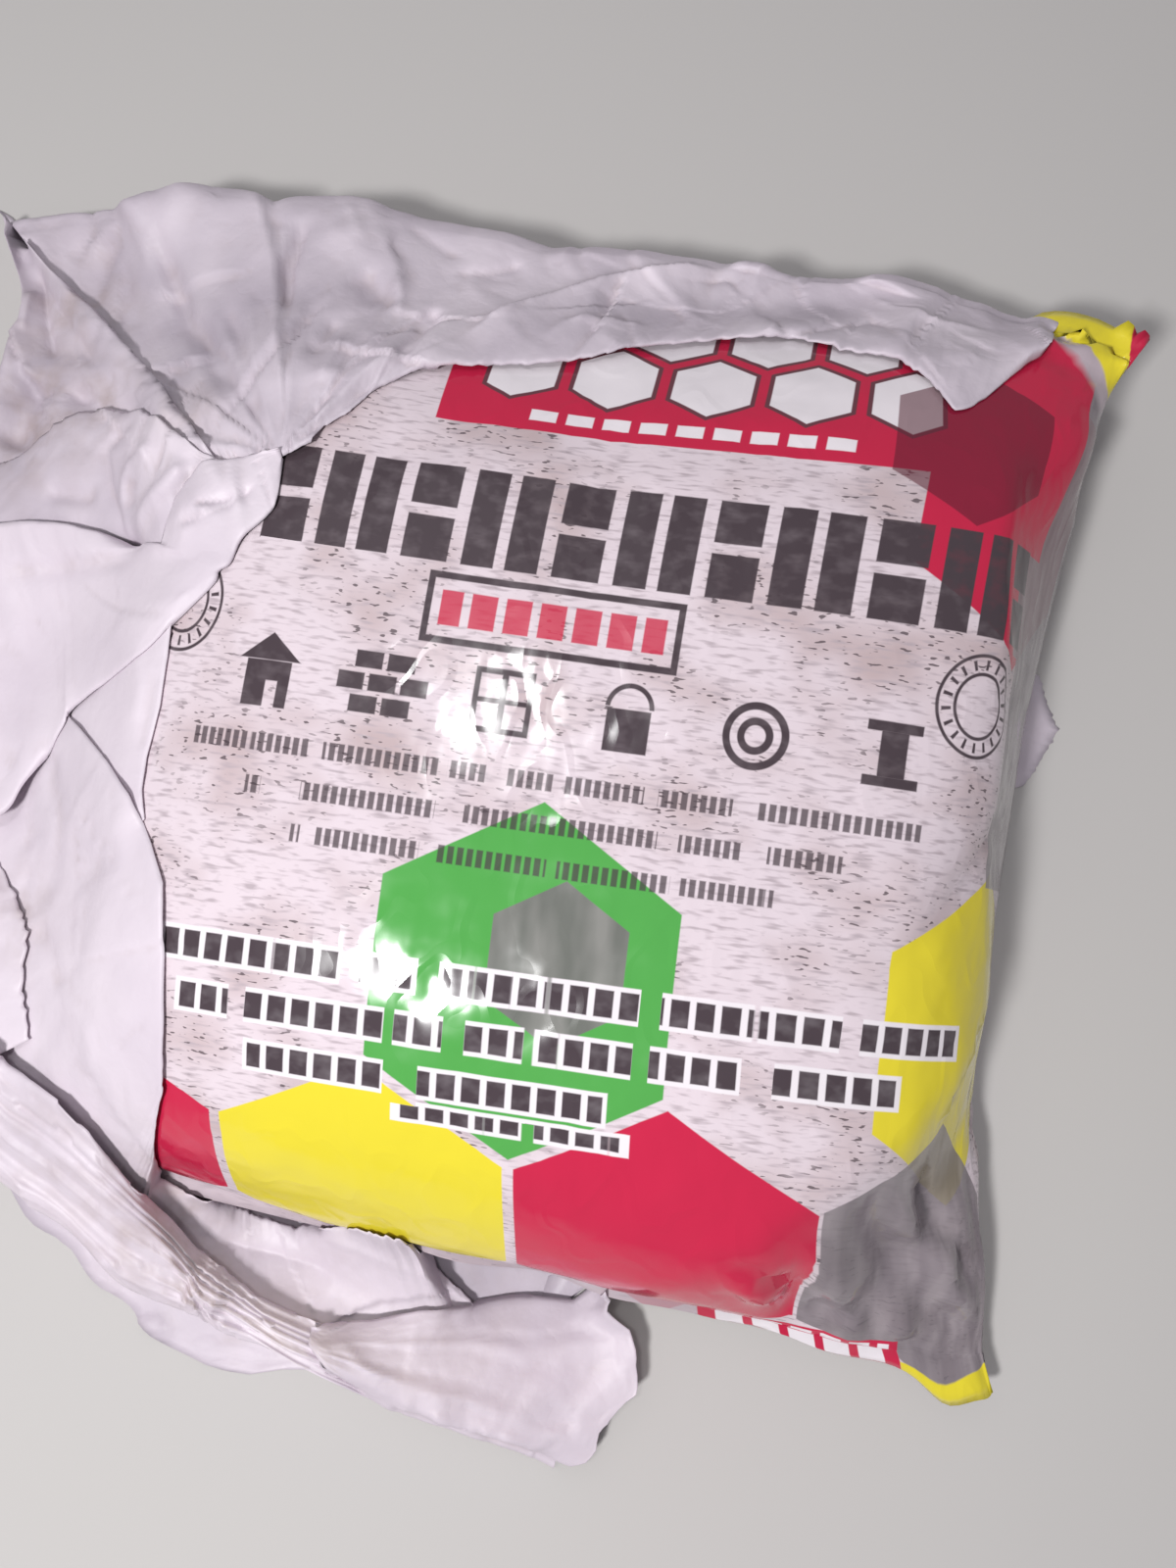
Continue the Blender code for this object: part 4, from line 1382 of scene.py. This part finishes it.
flap = Panel(FLAP_OUTER, FLAP_INNER, [0.010, 0.014, 0.020, 0.024] + [0.034] * 4 + [0.038] * 15 + [0.036] * 8,
             laid_so_far(), lift=[0.0010] * 10 + [0.0016] * 3 + [0.0012] * 18, bulge=0.007,
             jag_inner=[0.0] * 11 + [0.0009] * 10 + [0.0016] * 4 + [0.0004] * 6, seed=7)
flap.puff(0.0034, first=-0.1, last=1.02)
flap.fold(-5.0, 3.5, 4.5, (164, 214), (166, 254), (179, 289), (194, 332), (210, 348), (236, 390), (252, 432),
          soft=True)
flap.fold(-2.2, 2.5, 2.5, (236, 317), (253, 369), (263, 412), (268, 440), soft=True)
flap.fold(3.6, 1.8, 8, (274, 207), (282, 264), (288, 306), (288, 348), (293, 390), (288, 440))
flap.fold(-3.5, 2, 2.5, (316, 226), (307, 249), (297, 281), (293, 327), soft=True)
flap.fold(-2.0, 2, 2, (118, 220), (99, 241), (69, 273))
flap.fold(2.5, 2, 3, (122, 231), (104, 248), (90, 264))
flap.fold(-2.5, 3, 5, (126, 241), (114, 264), (99, 306), (103, 323), soft=True)
flap.fold(1.6, 1.2, 4, (126, 273), (124, 327), (135, 357))
flap.fold(1.4, 1.2, 5, (356, 208), (365, 230), (374, 251))
flap.fold(2.4, 1.2, 6, (402, 234), (397, 257), (407, 274), (412, 302), (410, 333))
flap.fold(-2.5, 4, 5, (369, 282), (384, 302), (407, 320), soft=True)
flap.fold(-4.0, 2.5, 2.5, (448, 318), (428, 346), (405, 374), soft=True)
flap.fold(-2.2, 2, 2, (346, 331), (335, 350), (320, 369))
flap.fold(-2.0, 2, 2, (382, 346), (359, 369), (348, 388))
flap.fold(2.0, 2, 3, (354, 348), (342, 372), (328, 397))
flap.fold(-2.0, 1.5, 3, (463, 285), (499, 282), (537, 272))
flap.fold(-1.6, 3, 3, (410, 226), (458, 262), (476, 269))
flap.fold(5.0, 1.5, 10, (470, 352), (504, 331), (530, 320), (581, 305), (632, 290), (700, 278), (742, 278))
flap.fold(2.6, 1.5, 6, (735, 285), (761, 315), (800, 344))
flap.fold(1.8, 1.2, 4, (555, 353), (576, 338), (601, 333), (632, 338), (662, 339))
flap.fold(-2.0, 2, 2, (680, 355), (729, 349), (804, 345), (843, 339), (888, 334), (914, 341), (940, 351))
flap.fold(1.6, 2, 4, (880, 300), (905, 320), (950, 335), (1010, 345))
flap.fan(GATHER, 22, 0.0030, 0.005, 0.045, 4, wander=0.25)
flap.crumple(7, (0.0032, 0.021), (0.0011, 0.010))
# The top flap is made darker towards its left end, as painted shade.
flap.make("sack_top_flap", thin=(0.45, 0.26))

# Corner of the sack, folded back over the pouch's top left corner. The fold is
# the bright line that runs down from its tip to the gather.

CORNER_OUTER = (
    (10, 228), (8, 241), (21, 285), (23, 310), (19, 327), (8, 342), (5, 369), (-12, 400), (-30, 440),
    (-40, 490), (-20, 545), (30, 560), (80, 565), (130, 575), (185, 560),
)
CORNER_INNER = (
    (13, 232), (20, 244), (40, 264), (56, 280), (72, 294), (101, 321), (116, 337), (131, 355), (150, 374),
    (158, 384), (171, 400), (181, 416), (198, 436), (210, 455), (222, 472),
)
corner = Panel(CORNER_OUTER, CORNER_INNER, [0.010, 0.012, 0.016, 0.020, 0.022] + [0.024] * 6 + [0.030] * 4,
               laid_so_far(), lift=0.0009, bulge=0.002, drapes=True, seed=8, sharp_outer=True)
corner.puff(0.0022)
corner.fold(1.0, 2, 4, (20, 246), (56, 282), (101, 323), (150, 376), (181, 417), (206, 449), (215, 470))
corner.fold(-2.2, 2.5, 3.5, (42, 275), (50, 298), (69, 327), (88, 359), (112, 388), (130, 405), (162, 439))
corner.fold(-3.0, 2.5, 2.5, (40, 268), (46, 298), (50, 338), (55, 361), (63, 374))
corner.fold(2.2, 2, 3, (38, 298), (32, 320), (27, 342))
corner.fold(-6.0, 6, 6, (50, 388), (34, 408), (20, 438), (4, 460), soft=True)
corner.fold(-4.0, 3, 5, (69, 401), (101, 412), (145, 414), soft=True)
corner.fan(GATHER, 26, 0.0014, 0.010, 0.060, 6, wander=0.25)
corner.crumple(8, (0.0025, 0.018), (0.0010, 0.009))
# The folded corner is made darker all over, as painted shade.
corner.make("sack_corner_folds", thin=0.45)

# Side panel of the sack. It is loose, deeply creased film over the left side,
# tucked in between the folded corner and the sweep.

SIDE_OUTER = (
    (-62, 600), (-40, 575), (0, 565), (38, 562), (74, 565), (105, 572), (126, 580), (150, 578), (172, 570),
    (205, 545), (236, 518), (256, 500),
)
SIDE_INNER = (
    (-50, 490), (-25, 480), (0, 475), (21, 468), (42, 449), (61, 433), (84, 422), (112, 420), (145, 420),
    (166, 430), (204, 461), (232, 474),
)
side = Panel(SIDE_OUTER, SIDE_INNER, 0.026, laid_so_far(), lift=0.0010, jag_inner=0.0005, seed=14)
side.puff(0.0026)
side.fold(-2.4, 3, 3, (48, 504), (78, 508), (105, 508), soft=True)
side.fold(-2.4, 2.5, 2.5, (145, 424), (126, 443), (109, 464), (114, 496), (126, 527), (126, 552))
side.fold(2.2, 3, 1.5, (162, 458), (135, 477), (128, 498), (126, 527))
side.fold(-2.2, 3, 3, (137, 490), (135, 506), (138, 520), soft=True)
side.fold(3.0, 2.5, 3.5, (195, 471), (172, 500), (150, 528), (146, 556), soft=True)
side.fold(-2.5, 1.5, 1.5, (204, 475), (184, 505), (176, 530), (174, 556))
side.crumple(14, (0.0020, 0.018), (0.0008, 0.009))
side.lower_end()
side.make("sack_side_panel", thin=(0.50, 0.12))

# Sweep of the sack. It runs from the left side up to the gather, lies over the
# folded corner and the lower panel, and ends in a clean edge across the print.

SWEEP_OUTER = (
    (-68, 850), (0, 832), (28, 795), (65, 742), (76, 725), (112, 694), (145, 667), (181, 635), (219, 597),
    (225, 584), (236, 576), (248, 552), (274, 527), (284, 510), (290, 470),
)
SWEEP_INNER = (
    (-62, 540), (0, 538), (18, 536), (38, 535), (58, 536), (74, 538), (105, 546), (126, 553), (147, 557),
    (166, 556), (172, 532), (182, 506), (206, 472), (246, 468), (286, 460),
)
sweep = Panel(SWEEP_OUTER, SWEEP_INNER, 0.030, laid_so_far(),
              lift=[0.0026] * 7 + [0.0012, 0.0008, 0.0006, 0.0006, 0.0006, 0.0006, 0.0006, 0.0008], seed=9)
sweep.puff(0.0022)
sweep.fold(-1.6, 3, 3, (0, 586), (69, 579), (148, 568), soft=True)
sweep.fold(2.0, 2, 3, (198, 525), (222, 522), (252, 505))
sweep.fold(-2.2, 1.5, 1.5, (198, 515), (222, 512), (244, 508))
sweep.fold(-2.2, 1.5, 1.5, (179, 538), (208, 528), (238, 515), (263, 494))
sweep.fan((288, 466), 30, 0.0016, 0.006, 0.038, 5, wander=0.25)
sweep.crumple(9, (0.0013, 0.024), (0.0006, 0.009))
sweep.lower_end()
sweep.make("sack_sweeping_panel",
           thin=(0.10, 0.05))
